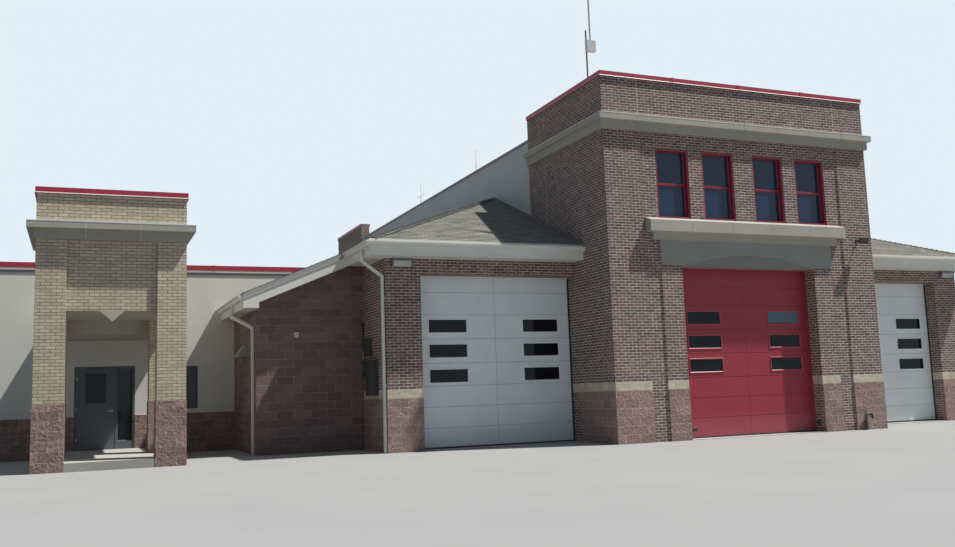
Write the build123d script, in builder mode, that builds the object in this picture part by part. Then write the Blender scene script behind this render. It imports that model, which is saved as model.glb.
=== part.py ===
"""Fire station with a tall engine bay between two brick towers, a lower engine bay on each
side under a hipped roof, and an office wing that is entered through a small brick tower.

Millimetres. X runs to the right along the front, Y runs back into the building, Z is up.
The origin is on the ground, at the middle of the front tower's face. The half behind the
middle of the building repeats the half in front of it.
"""
import os

from build123d import *

os.makedirs("parts", exist_ok=True)

# Overall plan
station_depth = 25200
middle = Plane.XZ.offset(-station_depth / 2)
joint_gap = 6
seam_width = 10
seam_depth = 6

# Towers at both ends of the tall bay
tower_width = 8128
tower_depth = 4070
tower_masonry_height = 8870
wall = 370
pilaster_width = 1000
relief = 25
block_height = 1219
block_thickness = 90
block_relief = 13
tower_side = tower_width / 2
side_seam_y = 3070

# Copings
coping_skin = 20
coping_lip = 30
tower_coping_drop = 90
office_coping_drop = 110
hall_coping_drop = 45

# Cornice of the towers
cornice_bottom = 7470
frieze_height = 210
frieze_relief = 70
ledge_height = 150
ledge_reach = 150
cornice_seams = (0, 1060, 2120, 3180)
cornice_side_seams = (990, 2050, 3110)

# Tower windows
window_width = 950
window_sill = 5351
window_height = 1729
window_inner_offset = 778.5
window_pitch = 1360.5
window_frame_face = 45
window_frame_depth = 180
window_frame_setback = 20
window_glass_setback = 130
glass_thickness = 24

# Middle door and its surround
center_door_width = 4075
center_door_head = 4165
door_pier_width = 590
door_pier_height = 4187
lintel_top = 4800
lintel_relief = 45
arch_width = 3774
arch_rise = 276
arch_sink = 25
canopy_width = 5996
canopy_frieze_width = 5666
canopy_frieze_top = 4990
canopy_frieze_reach = 75
canopy_reach = 235
canopy_front_top = 5260
canopy_back_top = 5350
canopy_seams = (607, 1820)

# Sectional doors
leaf_thickness = 50
leaf_lap = 40
groove_width = 12
groove_depth = 8
pane_width = 980
pane_height = 320
pane_offset = 1235
pane_thickness = 20
center_grooves = (498, 986, 1475, 2064, 2650, 3240, 3709)
bay_grooves = (495, 985, 1475, 2012, 2588, 3169, 3707)
pane_rows = (1765, 2348, 2945)
bay_pane_rows = (1710, 2305, 2900)

# Hall between the towers
hall_inset = 50
hall_wall = 300
hall_masonry_height = 8235
roof_deck_bottom = 7900
roof_deck_thickness = 150

# Low bays beside the tall one
bay_front = 1720
bay_door_width = 4100
bay_door_head = 4100
bay_pier_width = 860
bay_side = tower_side + bay_door_width + bay_pier_width

# Roofs over the low bays
pitch = 5 / 12
overhang = 632
gutter_depth = 140
gutter_height = 110
gutter_foot = 88
gutter_knee = 72
gutter_lip = 24
gutter_wall = 5
gutter_top = 4760
roof_thickness = 150
fascia_thickness = 25
soffit_thickness = 12
soffit_level = 4452
gutter_edge = bay_side + overhang
fascia_edge = gutter_edge - gutter_depth
fascia_front = bay_front - overhang + gutter_depth
hall_side = tower_side - hall_inset

# Lean-to on the left, under the same slope carried further down
lean_to_front = 3650
lean_to_side = 11654
lean_to_wall = 200
lean_to_gutter_edge = 12154
rake_front = 3200
rake_thickness = 25
rake_drop = 110
rake_height = 255
verge_thickness = 12
verge_drop = 18
lean_to_box_height = 200

# Office wing
office_front = 7050
office_left = 23000
office_wall = 250
office_masonry_height = 4910
office_deck_bottom = 4200
office_deck_thickness = 150
office_strip_height = 60
office_strip_relief = 25
office_band_height = 90
office_band_relief = 12
wainscot_height = 1016
wainscot_relief = 30
office_window_width = 914
office_window_height = 1115
office_window_sill = 1130
office_window_near = 13056
office_windows_left = (18700, 21200)
office_frame_face = 45
office_frame_depth = 110
office_frame_setback = 60
office_glass_setback = 40

# Entrance tower
entrance_x = -14894
entrance_width = 2930
entrance_front = 1700
entrance_pier = 585
entrance_opening_height = 3227
entrance_block_height = 1340
entrance_recess = 80
entrance_recess_top = 4660
entrance_wall = 300
entrance_masonry_height = 5730
entrance_frieze_bottom = 4690
entrance_frieze_height = 200
entrance_frieze_relief = 40
entrance_ledge_height = 140
entrance_ledge_reach = 175
entrance_seams = (533,)
ceiling_thickness = 40
beam_drop = 297
beam_thickness = 200
pendant_width = 500
pendant_drop = 225
pendant_thickness = 30
entrance_back = entrance_front + entrance_width

# Floors
bay_floor_thickness = 12
office_floor_level = 175

# Entrance door
leaf_width = 914
leaf_height = 2032
door_leaf_thickness = 45
door_undercut = 12
threshold_height = 6
door_gap = 5
hinge_gap = 8
frame_face = 50
frame_depth = 130
frame_width = 1450
stop_width = 15
stop_depth = 20
leaf_setback = 10
sidelight_rail = 200
lite_width = 508
lite_height = 760
lite_sill = 1160
hinge_radius = 7
hinge_reach = 12
knuckle_height = 60
knuckle_gap = 0.3
frame_knuckle_height = 22
hinge_heights = (250, 1016, 1780)
hinge_leaf_reach = 25
hinge_leaf_gap = 2
lever_height = 955
lever_inset = 70
rose_radius = 28
rose_thickness = 10
spindle_radius = 10
lever_reach = 60
lever_thickness = 18
lever_length = 115
door_glass_thickness = 16

# Rainwater pipes
pipe_width = 76
pipe_depth = 60
pipe_standoff = 12
pipe_drop = 420
strap_height = 40
strap_heights = (1500, 3500)
side_pipe_y = bay_front + pipe_width
lean_to_pipe_y = 3900
lean_to_outlet_y = 4780
lean_to_drop = 590

# Lamps
flood_x = 3560
flood_z = 4960
flood_arm = 150
flood_width = 300
flood_height = 170
flood_depth = 130
flood_tilt = 20
flood_rim = 25
lamp_plate = 55
lamp_plate_thickness = 12
lamp_arm_radius = 15
pack_width = 480
pack_height = 190
pack_depth = 120
pack_lens = 90
pack_bottom = 4250
pack_inset = 394
twin_x = -10690
twin_z = 2820
twin_plate = 110
twin_thickness = 45
twin_head_radius = 38
twin_head_length = 90
twin_turn = 30

# Fittings on the left bay, the lean-to and the right pilaster
switch_box = (220, 150, 420)
switch_box_front = 2880
switch_box_bottom = 2250
cabinet = (400, 200, 840)
cabinet_front = 2430
cabinet_bottom = 1300
conduit_radius = 22
conduit_standoff = 12
conduit_y = 3560
conduit_bottom = 1770
conduit_top = 3100
junction_box = 90
hood_front = 4900
hood_width = 600
hood_bottom = 2370
hood_height = 280
hood_reach = 230
hood_lip = 60
vent_x = 3300
vent_standoff = 70
vent_clamp_height = 180
vent_radius = 35
vent_wall = 5
vent_span = 230
vent_rise = 300
vent_mouth = 280

# Mast and antennas
mast_x = -3630
mast_y = 1330
mast_radius = 22
mast_height = 2390
mast_plate = 150
mast_plate_thickness = 16
bracket_heights = (250, 550)
bracket_size = 40
radio_box = (250, 120, 290)
radio_box_height = 1790
radio_box_left = 60
aerial_radius = 25
aerial_top = 3600
whip_places = (8800, 14275)
whip_inset = 64
whip_base = 700
whip_top = (1120, 1210)
whip_radius = 6
whip_pole_radius = 12
cross_length = 700
cross_prong = 120


def rect(x0, z0, x1, z1, mode=Mode.ADD):
    """Rectangle between two corners of the sketch."""
    with Locations(((x0 + x1) / 2, (z0 + z1) / 2)):
        Rectangle(abs(x1 - x0), abs(z1 - z0), mode=mode)


def block(x0, y0, z0, x1, y1, z1, mode=Mode.ADD):
    """Rectangular block between two corners."""
    with Locations(((x0 + x1) / 2, (y0 + y1) / 2, (z0 + z1) / 2)):
        Box(abs(x1 - x0), abs(y1 - y0), abs(z1 - z0), mode=mode)


def front_plane(y):
    """Upright plane that faces the front of the building at depth y, with sketch axes X and Z."""
    return Plane(origin=(0, y, 0), x_dir=(1, 0, 0), z_dir=(0, -1, 0))


def side_plane(x):
    """Upright plane across the building at x, with sketch axes Y and Z."""
    return Plane(origin=(x, 0, 0), x_dir=(0, 1, 0), z_dir=(1, 0, 0))


def front_seam(x, y, z0, z1):
    """Upright groove in a face that looks to the front at depth y."""
    block(x - seam_width / 2, y, z0, x + seam_width / 2, y + seam_depth, z1, Mode.SUBTRACT)


def side_seam(x, y, z0, z1):
    """Upright groove in a face that looks to the right at x."""
    block(x - seam_depth, y - seam_width / 2, z0, x, y + seam_width / 2, z1, Mode.SUBTRACT)


def slope_top(distance):
    """Height of a low roof's top surface at a distance out from the building's centre line."""
    return gutter_top + pitch * (gutter_edge - distance)


def front_slope_top(y):
    """Height of the front slope of a low roof at depth y."""
    return gutter_top + pitch * (y - bay_front + overhang)


# Tower walls: piers beside the door and the wall with four windows over it. Pilasters and
# door piers stand out from the wall between them
window_centers = (
    -window_inner_offset - window_pitch,
    -window_inner_offset,
    window_inner_offset,
    window_inner_offset + window_pitch,
)
door_half = center_door_width / 2
pier_outer = door_half + door_pier_width
cornice_top = cornice_bottom + frieze_height + ledge_height

with BuildPart() as tower_piers:
    with BuildSketch(Plane.XY):
        rect(door_half, relief, tower_side, wall)
        rect(tower_side - pilaster_width, 0, tower_side, wall)
        rect(door_half, 0, pier_outer, wall)
    extrude(amount=center_door_head)
    with BuildSketch(Plane.XY):
        rect(tower_side - pilaster_width, 0, tower_side, block_thickness)
        rect(tower_side - block_thickness, 0, tower_side, wall)
        rect(door_half, 0, pier_outer, block_thickness)
    extrude(amount=block_height, mode=Mode.SUBTRACT)
    mirror(about=Plane.YZ)
    mirror(about=middle)
tower_piers.part.label = "tower_piers"
export_step(tower_piers.part, "parts/tower_piers.step")

with BuildPart() as tower_upper_walls:
    with BuildSketch(front_plane(relief)):
        rect(-tower_side, center_door_head, tower_side, tower_masonry_height)
    extrude(amount=-(wall - relief))
    with BuildSketch(front_plane(relief)):
        for side in (-1, 1):
            pilaster_inner = side * (tower_side - pilaster_width)
            rect(pilaster_inner, center_door_head, side * tower_side, cornice_bottom)
            rect(side * door_half, center_door_head, side * pier_outer, door_pier_height)
        rect(-tower_side, cornice_bottom, tower_side, tower_masonry_height)
    extrude(amount=relief)
    with BuildSketch(front_plane(relief)):
        for x in window_centers:
            rect(x - window_width / 2, window_sill, x + window_width / 2, window_sill + window_height)
    extrude(amount=-wall, mode=Mode.SUBTRACT)
    for side in (-1, 1):
        front_seam(side * (tower_side - pilaster_width), 0, cornice_top,
                   tower_masonry_height - tower_coping_drop)
    mirror(about=middle)
tower_upper_walls.part.label = "tower_upper_walls"
export_step(tower_upper_walls.part, "parts/tower_upper_walls.step")

# Tower side walls, with a bed for the block course that runs back to the low bay
with BuildPart() as tower_side_walls:
    block(tower_side - wall, wall, 0, tower_side, tower_depth, tower_masonry_height)
    block(tower_side - block_thickness, wall, 0, tower_side, bay_front, block_height, Mode.SUBTRACT)
    side_seam(tower_side, side_seam_y, block_height, tower_masonry_height - tower_coping_drop)
    mirror(about=Plane.YZ)
    mirror(about=middle)
tower_side_walls.part.label = "tower_side_walls"
export_step(tower_side_walls.part, "parts/tower_side_walls.step")

# Split-face block courses round the corners and on the door piers
with BuildPart() as tower_base_blocks:
    with BuildSketch(Plane.XY):
        rect(tower_side - pilaster_width, -block_relief, tower_side + block_relief, block_thickness)
        rect(tower_side - block_thickness, -block_relief, tower_side + block_relief, bay_front)
        rect(door_half, -block_relief, pier_outer, block_thickness)
    extrude(amount=block_height)
    mirror(about=Plane.YZ)
    mirror(about=middle)
tower_base_blocks.part.label = "tower_base_blocks"
export_step(tower_base_blocks.part, "parts/tower_base_blocks.step")


# Cornice: a frieze with a ledge over it, in a front run and two side runs
def cornice_run(half_width, front, back, bottom, frieze, ledge):
    """Front and side runs of a cornice, with the seams between its cast lengths.

    frieze and ledge are (height, reach) pairs.
    """
    for height, reach, base in ((frieze[0], frieze[1], bottom), (ledge[0], ledge[1], bottom + frieze[0])):
        with BuildSketch(Plane.XY.offset(base)) as run:
            rect(-half_width - reach, front - reach, half_width + reach, front)
            for side in (-1, 1):
                rect(side * half_width, front + joint_gap, side * (half_width + reach), back)
        extrude(run.sketch, amount=height)
        for x in cornice_seams:
            front_seam(x, front - reach, base, base + height)
            front_seam(-x, front - reach, base, base + height)
        for y in cornice_side_seams:
            side_seam(half_width + reach, y, base, base + height)
            side_seam(-half_width - reach + seam_depth, y, base, base + height)


with BuildPart() as tower_cornices:
    cornice_run(
        tower_side, 0, tower_depth, cornice_bottom,
        (frieze_height, frieze_relief), (ledge_height, ledge_reach),
    )
    mirror(about=middle)
tower_cornices.part.label = "tower_cornices"
export_step(tower_cornices.part, "parts/tower_cornices.step")


# Copings: metal caps that fold down over both faces of a parapet
def cap(x0, y0, x1, y1, top, drop, open_ends):
    """Cap on the wall between two plan corners. open_ends names the axis the cap runs along."""
    reach_x = 0 if open_ends == "x" else coping_lip
    reach_y = 0 if open_ends == "y" else coping_lip
    block(x0 - reach_x, y0 - reach_y, top - drop, x1 + reach_x, y1 + reach_y, top + coping_skin)
    block(x0, y0, top - drop, x1, y1, top, Mode.SUBTRACT)


with BuildPart() as roof_copings:
    cap(tower_side - wall, wall + coping_lip + joint_gap, tower_side, tower_depth, tower_masonry_height,
        tower_coping_drop, "y")
    mirror(about=Plane.YZ)
    block(-tower_side - coping_lip, -coping_lip, tower_masonry_height - tower_coping_drop,
          tower_side + coping_lip, wall + coping_lip, tower_masonry_height + coping_skin)
    block(-tower_side, 0, tower_masonry_height - tower_coping_drop, tower_side, wall,
          tower_masonry_height, Mode.SUBTRACT)
    for side in (-1, 1):
        block(side * (tower_side - wall), wall, tower_masonry_height - tower_coping_drop,
              side * tower_side, wall + coping_lip, tower_masonry_height, Mode.SUBTRACT)
    mirror(about=middle)
    for side in (-1, 1):
        cap(side * (hall_side - hall_wall / 2) - hall_wall / 2, tower_depth + joint_gap,
            side * (hall_side - hall_wall / 2) + hall_wall / 2, station_depth - tower_depth - joint_gap,
            hall_masonry_height, hall_coping_drop, "y")
roof_copings.part.label = "roof_copings"
export_step(roof_copings.part, "parts/roof_copings.step")

# Hall walls, roof deck and copings
with BuildPart() as hall_walls:
    block(hall_side - hall_wall, tower_depth, 0, hall_side, station_depth - tower_depth, hall_masonry_height)
    mirror(about=Plane.YZ)
hall_walls.part.label = "hall_walls"
export_step(hall_walls.part, "parts/hall_walls.step")

with BuildPart() as hall_roof:
    with BuildSketch(Plane.XY.offset(roof_deck_bottom)):
        rect(-tower_side + wall, wall, tower_side - wall, station_depth - wall)
        rect(-hall_side + hall_wall, tower_depth, hall_side - hall_wall, station_depth - tower_depth)
    extrude(amount=roof_deck_thickness)
    for side in (-1, 1):
        block(side * (hall_side - hall_wall), tower_depth, roof_deck_bottom,
              side * tower_side, station_depth - tower_depth, roof_deck_bottom + roof_deck_thickness,
              Mode.SUBTRACT)
hall_roof.part.label = "hall_roof"
export_step(hall_roof.part, "parts/hall_roof.step")

# Tower windows: deep box frames with a bar at mid height
window_middle = window_sill + window_height / 2
glass_plane = relief + window_frame_setback + window_glass_setback

with BuildPart() as tower_window_frames:
    with BuildSketch(front_plane(relief + window_frame_setback)):
        for x in window_centers:
            with Locations((x, window_middle)):
                Rectangle(window_width, window_height)
                Rectangle(window_width - 2 * window_frame_face, window_height - 2 * window_frame_face,
                          mode=Mode.SUBTRACT)
    extrude(amount=-window_frame_depth)
    with BuildSketch(front_plane(glass_plane - window_frame_face / 2)):
        for x in window_centers:
            with Locations((x, window_middle)):
                Rectangle(window_width - 2 * window_frame_face, window_frame_face)
    extrude(amount=-(glass_thickness + window_frame_face))
    mirror(about=middle)
tower_window_frames.part.label = "tower_window_frames"
export_step(tower_window_frames.part, "parts/tower_window_frames.step")

# Surround of the middle door: lintel panel with a segmental arch sunk in it, and the canopy
arch_half = arch_width / 2

with BuildPart() as door_lintels:
    with BuildSketch(front_plane(relief)):
        rect(-pier_outer, door_pier_height, pier_outer, lintel_top)
        rect(-door_half, center_door_head, door_half, door_pier_height)
    extrude(amount=lintel_relief)
    with BuildSketch(front_plane(relief - lintel_relief)):
        with BuildLine():
            ThreePointArc((-arch_half, door_pier_height), (0, door_pier_height + arch_rise),
                          (arch_half, door_pier_height))
            Polyline((arch_half, door_pier_height), (arch_half, center_door_head),
                     (-arch_half, center_door_head), (-arch_half, door_pier_height))
        make_face()
    extrude(amount=-arch_sink, mode=Mode.SUBTRACT)
    mirror(about=middle)
door_lintels.part.label = "door_lintels"
export_step(door_lintels.part, "parts/door_lintels.step")

with BuildPart() as door_canopies:
    with BuildSketch(front_plane(relief)):
        rect(-canopy_frieze_width / 2, lintel_top, canopy_frieze_width / 2, canopy_frieze_top)
    extrude(amount=canopy_frieze_reach)
    with BuildSketch(side_plane(-canopy_width / 2)):
        with BuildLine():
            Polyline((relief, canopy_frieze_top), (relief, canopy_back_top),
                     (relief - canopy_reach, canopy_front_top), (relief - canopy_reach, canopy_frieze_top),
                     close=True)
        make_face()
    extrude(amount=canopy_width)
    for x in canopy_seams:
        for side in (-1, 1):
            front_seam(side * x, relief - canopy_reach, canopy_frieze_top, canopy_back_top)
            front_seam(side * x, relief - canopy_frieze_reach, lintel_top, canopy_frieze_top)
    mirror(about=middle)
door_canopies.part.label = "door_canopies"
export_step(door_canopies.part, "parts/door_canopies.step")

# Sectional doors: horizontal sections with grooves between them and three rows of panes
def pane_places(x, rows):
    """Centres of the panes of a door whose middle is at x."""
    return [(x + side * pane_offset, z) for side in (-1, 1) for z in rows]


def door_leaf(x0, x1, y, head, grooves, rows):
    """Sectional leaf whose front is at depth y, with its panes, grooves and middle seam cut."""
    with BuildSketch(front_plane(y)) as elevation:
        rect(x0, bay_floor_thickness, x1, head)
        with Locations(*pane_places((x0 + x1) / 2, rows)):
            Rectangle(pane_width, pane_height, mode=Mode.SUBTRACT)
    extrude(elevation.sketch, amount=-leaf_thickness)
    for z in grooves:
        block(x0, y, z - groove_width / 2, x1, y + groove_depth, z + groove_width / 2, Mode.SUBTRACT)
    seam = (x0 + x1) / 2
    block(seam - groove_width / 2, y, bay_floor_thickness, seam + groove_width / 2, y + groove_depth, head,
          Mode.SUBTRACT)


def door_panes(x, y, rows):
    """Glass in the middle of a leaf's thickness."""
    with BuildSketch(front_plane(y + (leaf_thickness - pane_thickness) / 2)) as elevation:
        with Locations(*pane_places(x, rows)):
            Rectangle(pane_width, pane_height)
    extrude(elevation.sketch, amount=-pane_thickness)


bay_door_plane = bay_front + wall
bay_door_outer = tower_side + bay_door_width
bay_leaf_inner = tower_side + joint_gap
bay_leaf_outer = bay_door_outer + leaf_lap

with BuildPart() as center_doors:
    door_leaf(-door_half - leaf_lap, door_half + leaf_lap, wall, center_door_head + leaf_lap,
              center_grooves, pane_rows)
    mirror(about=middle)
center_doors.part.label = "center_doors"
export_step(center_doors.part, "parts/center_doors.step")

with BuildPart() as side_bay_doors:
    door_leaf(bay_leaf_inner, bay_leaf_outer, bay_door_plane, bay_door_head + leaf_lap,
              bay_grooves, bay_pane_rows)
    mirror(about=Plane.YZ)
    mirror(about=middle)
side_bay_doors.part.label = "side_bay_doors"
export_step(side_bay_doors.part, "parts/side_bay_doors.step")

with BuildPart() as bay_door_glass:
    door_panes((bay_leaf_inner + bay_leaf_outer) / 2, bay_door_plane, bay_pane_rows)
    mirror(about=Plane.YZ)
    door_panes(0, wall, pane_rows)
    mirror(about=middle)
bay_door_glass.part.label = "bay_door_glass"
export_step(bay_door_glass.part, "parts/bay_door_glass.step")

# End walls of the low bays: a pier with the wall over the door; outer walls; block courses
plate_height = front_slope_top(bay_front) - roof_thickness

with BuildPart() as side_bay_piers:
    block(bay_door_outer, bay_front, 0, bay_side, bay_front + wall, plate_height)
    with BuildSketch(Plane.XY):
        rect(bay_door_outer, bay_front, bay_side, bay_front + block_thickness)
        rect(bay_side - block_thickness, bay_front, bay_side, bay_front + wall)
    extrude(amount=block_height, mode=Mode.SUBTRACT)
    mirror(about=Plane.YZ)
    mirror(about=middle)
side_bay_piers.part.label = "side_bay_piers"
export_step(side_bay_piers.part, "parts/side_bay_piers.step")

with BuildPart() as side_bay_headers:
    block(tower_side, bay_front, bay_door_head, bay_door_outer, bay_front + wall, plate_height)
    mirror(about=Plane.YZ)
    mirror(about=middle)
side_bay_headers.part.label = "side_bay_headers"
export_step(side_bay_headers.part, "parts/side_bay_headers.step")

with BuildPart() as side_bay_outer_walls:
    block(bay_side - wall, bay_front + wall, 0, bay_side, station_depth - bay_front - wall, plate_height)
    block(bay_side - block_thickness, bay_front + wall, 0, bay_side, station_depth - bay_front - wall,
          block_height, Mode.SUBTRACT)
    block(-bay_side, bay_front + wall, 0, -bay_side + wall, station_depth - bay_front - wall, plate_height)
    for y0, y1 in ((bay_front, lean_to_front), (station_depth - lean_to_front, station_depth - bay_front)):
        block(-bay_side, y0, 0, -bay_side + block_thickness, y1, block_height, Mode.SUBTRACT)
side_bay_outer_walls.part.label = "side_bay_outer_walls"
export_step(side_bay_outer_walls.part, "parts/side_bay_outer_walls.step")

with BuildPart() as side_bay_base_blocks:
    with BuildSketch(Plane.XY):
        for side, back in ((1, station_depth / 2 - joint_gap), (-1, lean_to_front)):
            rect(side * bay_door_outer, bay_front - block_relief, side * (bay_side + block_relief),
                 bay_front + block_thickness)
            rect(side * (bay_side - block_thickness), bay_front, side * (bay_side + block_relief), back)
    extrude(amount=block_height)
    mirror(about=middle)
side_bay_base_blocks.part.label = "side_bay_base_blocks"
export_step(side_bay_base_blocks.part, "parts/side_bay_base_blocks.step")


# Roofs of the low bays: one slope down from the hall wall, hipped at both ends
def hip_mass(drop):
    """Body under the roof surface, lowered by drop, on the right side of the building."""
    ridge_limit = slope_top(hall_side) + roof_thickness
    base = slope_top(fascia_edge) - roof_thickness
    run = (ridge_limit - gutter_top) / pitch
    first = bay_front - overhang
    last = station_depth - first
    with BuildPart() as mass:
        with BuildSketch(front_plane(fascia_front)):
            with BuildLine():
                Polyline((hall_side, base - drop), (fascia_edge, base - drop),
                         (fascia_edge, slope_top(fascia_edge) - drop),
                         (hall_side, slope_top(hall_side) - drop), close=True)
            make_face()
        extrude(amount=-(station_depth - 2 * fascia_front))
        with BuildSketch(side_plane(0)):
            with BuildLine():
                Polyline((first, base - roof_thickness), (first, gutter_top - drop),
                         (first + run, ridge_limit - drop), (last - run, ridge_limit - drop),
                         (last, gutter_top - drop), (last, base - roof_thickness), close=True)
            make_face()
        extrude(amount=gutter_edge, mode=Mode.INTERSECT)
    return mass.part


roof_outside = hip_mass(0)
roof_inside = hip_mass(roof_thickness)

with BuildPart() as right_roof:
    add(roof_outside)
    add(roof_inside, mode=Mode.SUBTRACT)
    block(0, 0, 0, tower_side, tower_depth, tower_masonry_height, Mode.SUBTRACT)
    block(0, station_depth - tower_depth, 0, tower_side, station_depth, tower_masonry_height, Mode.SUBTRACT)
right_roof.part.label = "right_roof"
export_step(right_roof.part, "parts/right_roof.step")

lean_to_fascia_edge = lean_to_gutter_edge - gutter_depth

with BuildPart() as left_roof:
    add(mirror(right_roof.part, about=Plane.YZ, mode=Mode.PRIVATE))
    with BuildSketch(front_plane(rake_front)):
        with BuildLine():
            Polyline((-fascia_edge, slope_top(fascia_edge)),
                     (-fascia_edge, slope_top(fascia_edge) - roof_thickness),
                     (-lean_to_fascia_edge, slope_top(lean_to_fascia_edge) - roof_thickness),
                     (-lean_to_fascia_edge, slope_top(lean_to_fascia_edge)), close=True)
        make_face()
    extrude(amount=-(office_front - rake_front))
    mirror(about=middle)
left_roof.part.label = "left_roof"
export_step(left_roof.part, "parts/left_roof.step")

# Boxed eaves: fascia board and soffit, and the gutters in front of them
eaves_back = station_depth - fascia_front
left_breaks = (
    (rake_front - rake_thickness, office_front),
    (station_depth - office_front, station_depth - rake_front + rake_thickness),
)
corner_breaks = (
    (bay_front, bay_front + joint_gap),
    (station_depth - bay_front - joint_gap, station_depth - bay_front),
)


def open_breaks(breaks, inner, outer, bottom, top):
    """Clear the stretches of an edge trim that are left open, on the left side."""
    for y0, y1 in breaks:
        block(-inner, y0, bottom, -outer, y1, top, Mode.SUBTRACT)


with BuildPart() as right_eaves_builder:
    with BuildSketch(Plane.XY.offset(soffit_level)):
        rect(tower_side, fascia_front, fascia_edge, eaves_back)
        rect(tower_side, fascia_front + fascia_thickness, fascia_edge - fascia_thickness,
             eaves_back - fascia_thickness, Mode.SUBTRACT)
    extrude(amount=slope_top(fascia_edge) - roof_thickness - soffit_level)
    with BuildSketch(Plane.XY.offset(soffit_level)):
        rect(tower_side, fascia_front, fascia_edge, eaves_back)
        rect(tower_side, bay_front, bay_side, station_depth - bay_front, Mode.SUBTRACT)
    extrude(amount=soffit_thickness)
    for y0, y1 in corner_breaks:
        block(bay_side, y0, soffit_level, gutter_edge, y1, gutter_top, Mode.SUBTRACT)

def gutter_section(plane, hollow=True):
    """Ogee gutter: flat back and foot, and a front that curves out to a lip.

    The plane's sketch axes point away from the fascia and up.
    """
    with BuildSketch(plane) as section:
        with BuildLine():
            Polyline((gutter_depth, -gutter_lip), (gutter_depth, 0), (0, 0), (0, -gutter_height),
                     (gutter_foot, -gutter_height), (gutter_foot, -gutter_knee))
            TangentArc((gutter_foot, -gutter_knee), (gutter_depth, -gutter_lip), tangent=(0, 1))
        make_face()
        if hollow:
            offset(amount=-gutter_wall, mode=Mode.SUBTRACT)
            rect(gutter_wall, -gutter_wall, gutter_depth - gutter_wall, 0, Mode.SUBTRACT)
    return section.sketch


gutter_start = Plane(origin=(tower_side, fascia_front, gutter_top), x_dir=(0, -1, 0), z_dir=(-1, 0, 0))

with BuildPart() as right_gutter_builder:
    with BuildLine() as gutter_route:
        Polyline((tower_side, fascia_front, gutter_top), (fascia_edge, fascia_front, gutter_top),
                 (fascia_edge, station_depth / 2, gutter_top))
    sweep(gutter_section(gutter_start), path=gutter_route.line, transition=Transition.RIGHT)
    extrude(gutter_section(gutter_start, hollow=False), amount=-gutter_wall)
    block(bay_side, corner_breaks[0][0], soffit_level, gutter_edge, corner_breaks[0][1], gutter_top,
          Mode.SUBTRACT)
    mirror(about=middle)

with BuildPart() as eaves:
    add(mirror(right_eaves_builder.part, about=Plane.YZ, mode=Mode.PRIVATE))
    open_breaks(left_breaks, tower_side, gutter_edge, soffit_level, gutter_top)
    add(right_eaves_builder.part)
eaves.part.label = "eaves"
export_step(eaves.part, "parts/eaves.step")

with BuildPart() as gutters:
    add(mirror(right_gutter_builder.part, about=Plane.YZ, mode=Mode.PRIVATE))
    open_breaks(left_breaks, tower_side, gutter_edge, soffit_level, gutter_top)
    add(right_gutter_builder.part)
    lean_to_gutter_top = slope_top(lean_to_gutter_edge)
    lean_to_gutter = Plane(origin=(-lean_to_fascia_edge, rake_front, lean_to_gutter_top), x_dir=(-1, 0, 0),
                           z_dir=(0, 1, 0))
    extrude(gutter_section(lean_to_gutter), amount=office_front - rake_front)
    extrude(gutter_section(lean_to_gutter, hollow=False), amount=gutter_wall)
    mirror(about=middle)
gutters.part.label = "gutters"
export_step(gutters.part, "parts/gutters.step")

# Lean-to walls follow the slope; rake boards and the boxed eave close its edge
with BuildPart() as lean_to_walls:
    with BuildSketch(front_plane(lean_to_front)):
        with BuildLine():
            Polyline((-bay_side, 0), (-lean_to_side, 0),
                     (-lean_to_side, slope_top(lean_to_side) - roof_thickness),
                     (-bay_side, slope_top(bay_side) - roof_thickness), close=True)
        make_face()
    extrude(amount=-lean_to_wall)
    block(-lean_to_side, lean_to_front, 0, -lean_to_side + lean_to_wall, office_front,
          slope_top(lean_to_side) - roof_thickness)
    with BuildSketch(Plane.XY.offset(soffit_level)):
        rect(-bay_side, lean_to_front, -fascia_edge, lean_to_front + lean_to_wall)
    extrude(amount=slope_top(bay_side) - soffit_level, mode=Mode.SUBTRACT)
    mirror(about=middle)
lean_to_walls.part.label = "lean_to_walls"
export_step(lean_to_walls.part, "parts/lean_to_walls.step")

with BuildPart() as rake_boards:
    for depth, thickness, top, height in (
        (rake_front - rake_thickness, rake_thickness, rake_drop, rake_height),
        (rake_front - verge_thickness, verge_thickness, verge_drop, rake_drop - verge_drop),
        (rake_front, lean_to_front - rake_front, rake_drop + rake_height - soffit_thickness,
         soffit_thickness),
    ):
        with BuildSketch(front_plane(depth)):
            with BuildLine():
                Polyline((-fascia_edge, slope_top(fascia_edge) - top),
                         (-fascia_edge, slope_top(fascia_edge) - top - height),
                         (-lean_to_fascia_edge, slope_top(lean_to_fascia_edge) - top - height),
                         (-lean_to_fascia_edge, slope_top(lean_to_fascia_edge) - top), close=True)
            make_face()
        extrude(amount=-thickness)
    box_top = slope_top(lean_to_fascia_edge) - roof_thickness
    box_bottom = box_top - lean_to_box_height
    block(-lean_to_fascia_edge, rake_front - rake_thickness, box_bottom,
          -lean_to_fascia_edge + fascia_thickness, office_front, box_top)
    block(-lean_to_fascia_edge, rake_front - rake_thickness, box_bottom, -lean_to_side, office_front,
          box_bottom + soffit_thickness)
    block(-lean_to_fascia_edge, rake_front - rake_thickness, box_bottom, -lean_to_side, rake_front, box_top)
    mirror(about=middle)
rake_boards.part.label = "rake_boards"
export_step(rake_boards.part, "parts/rake_boards.step")

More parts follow.
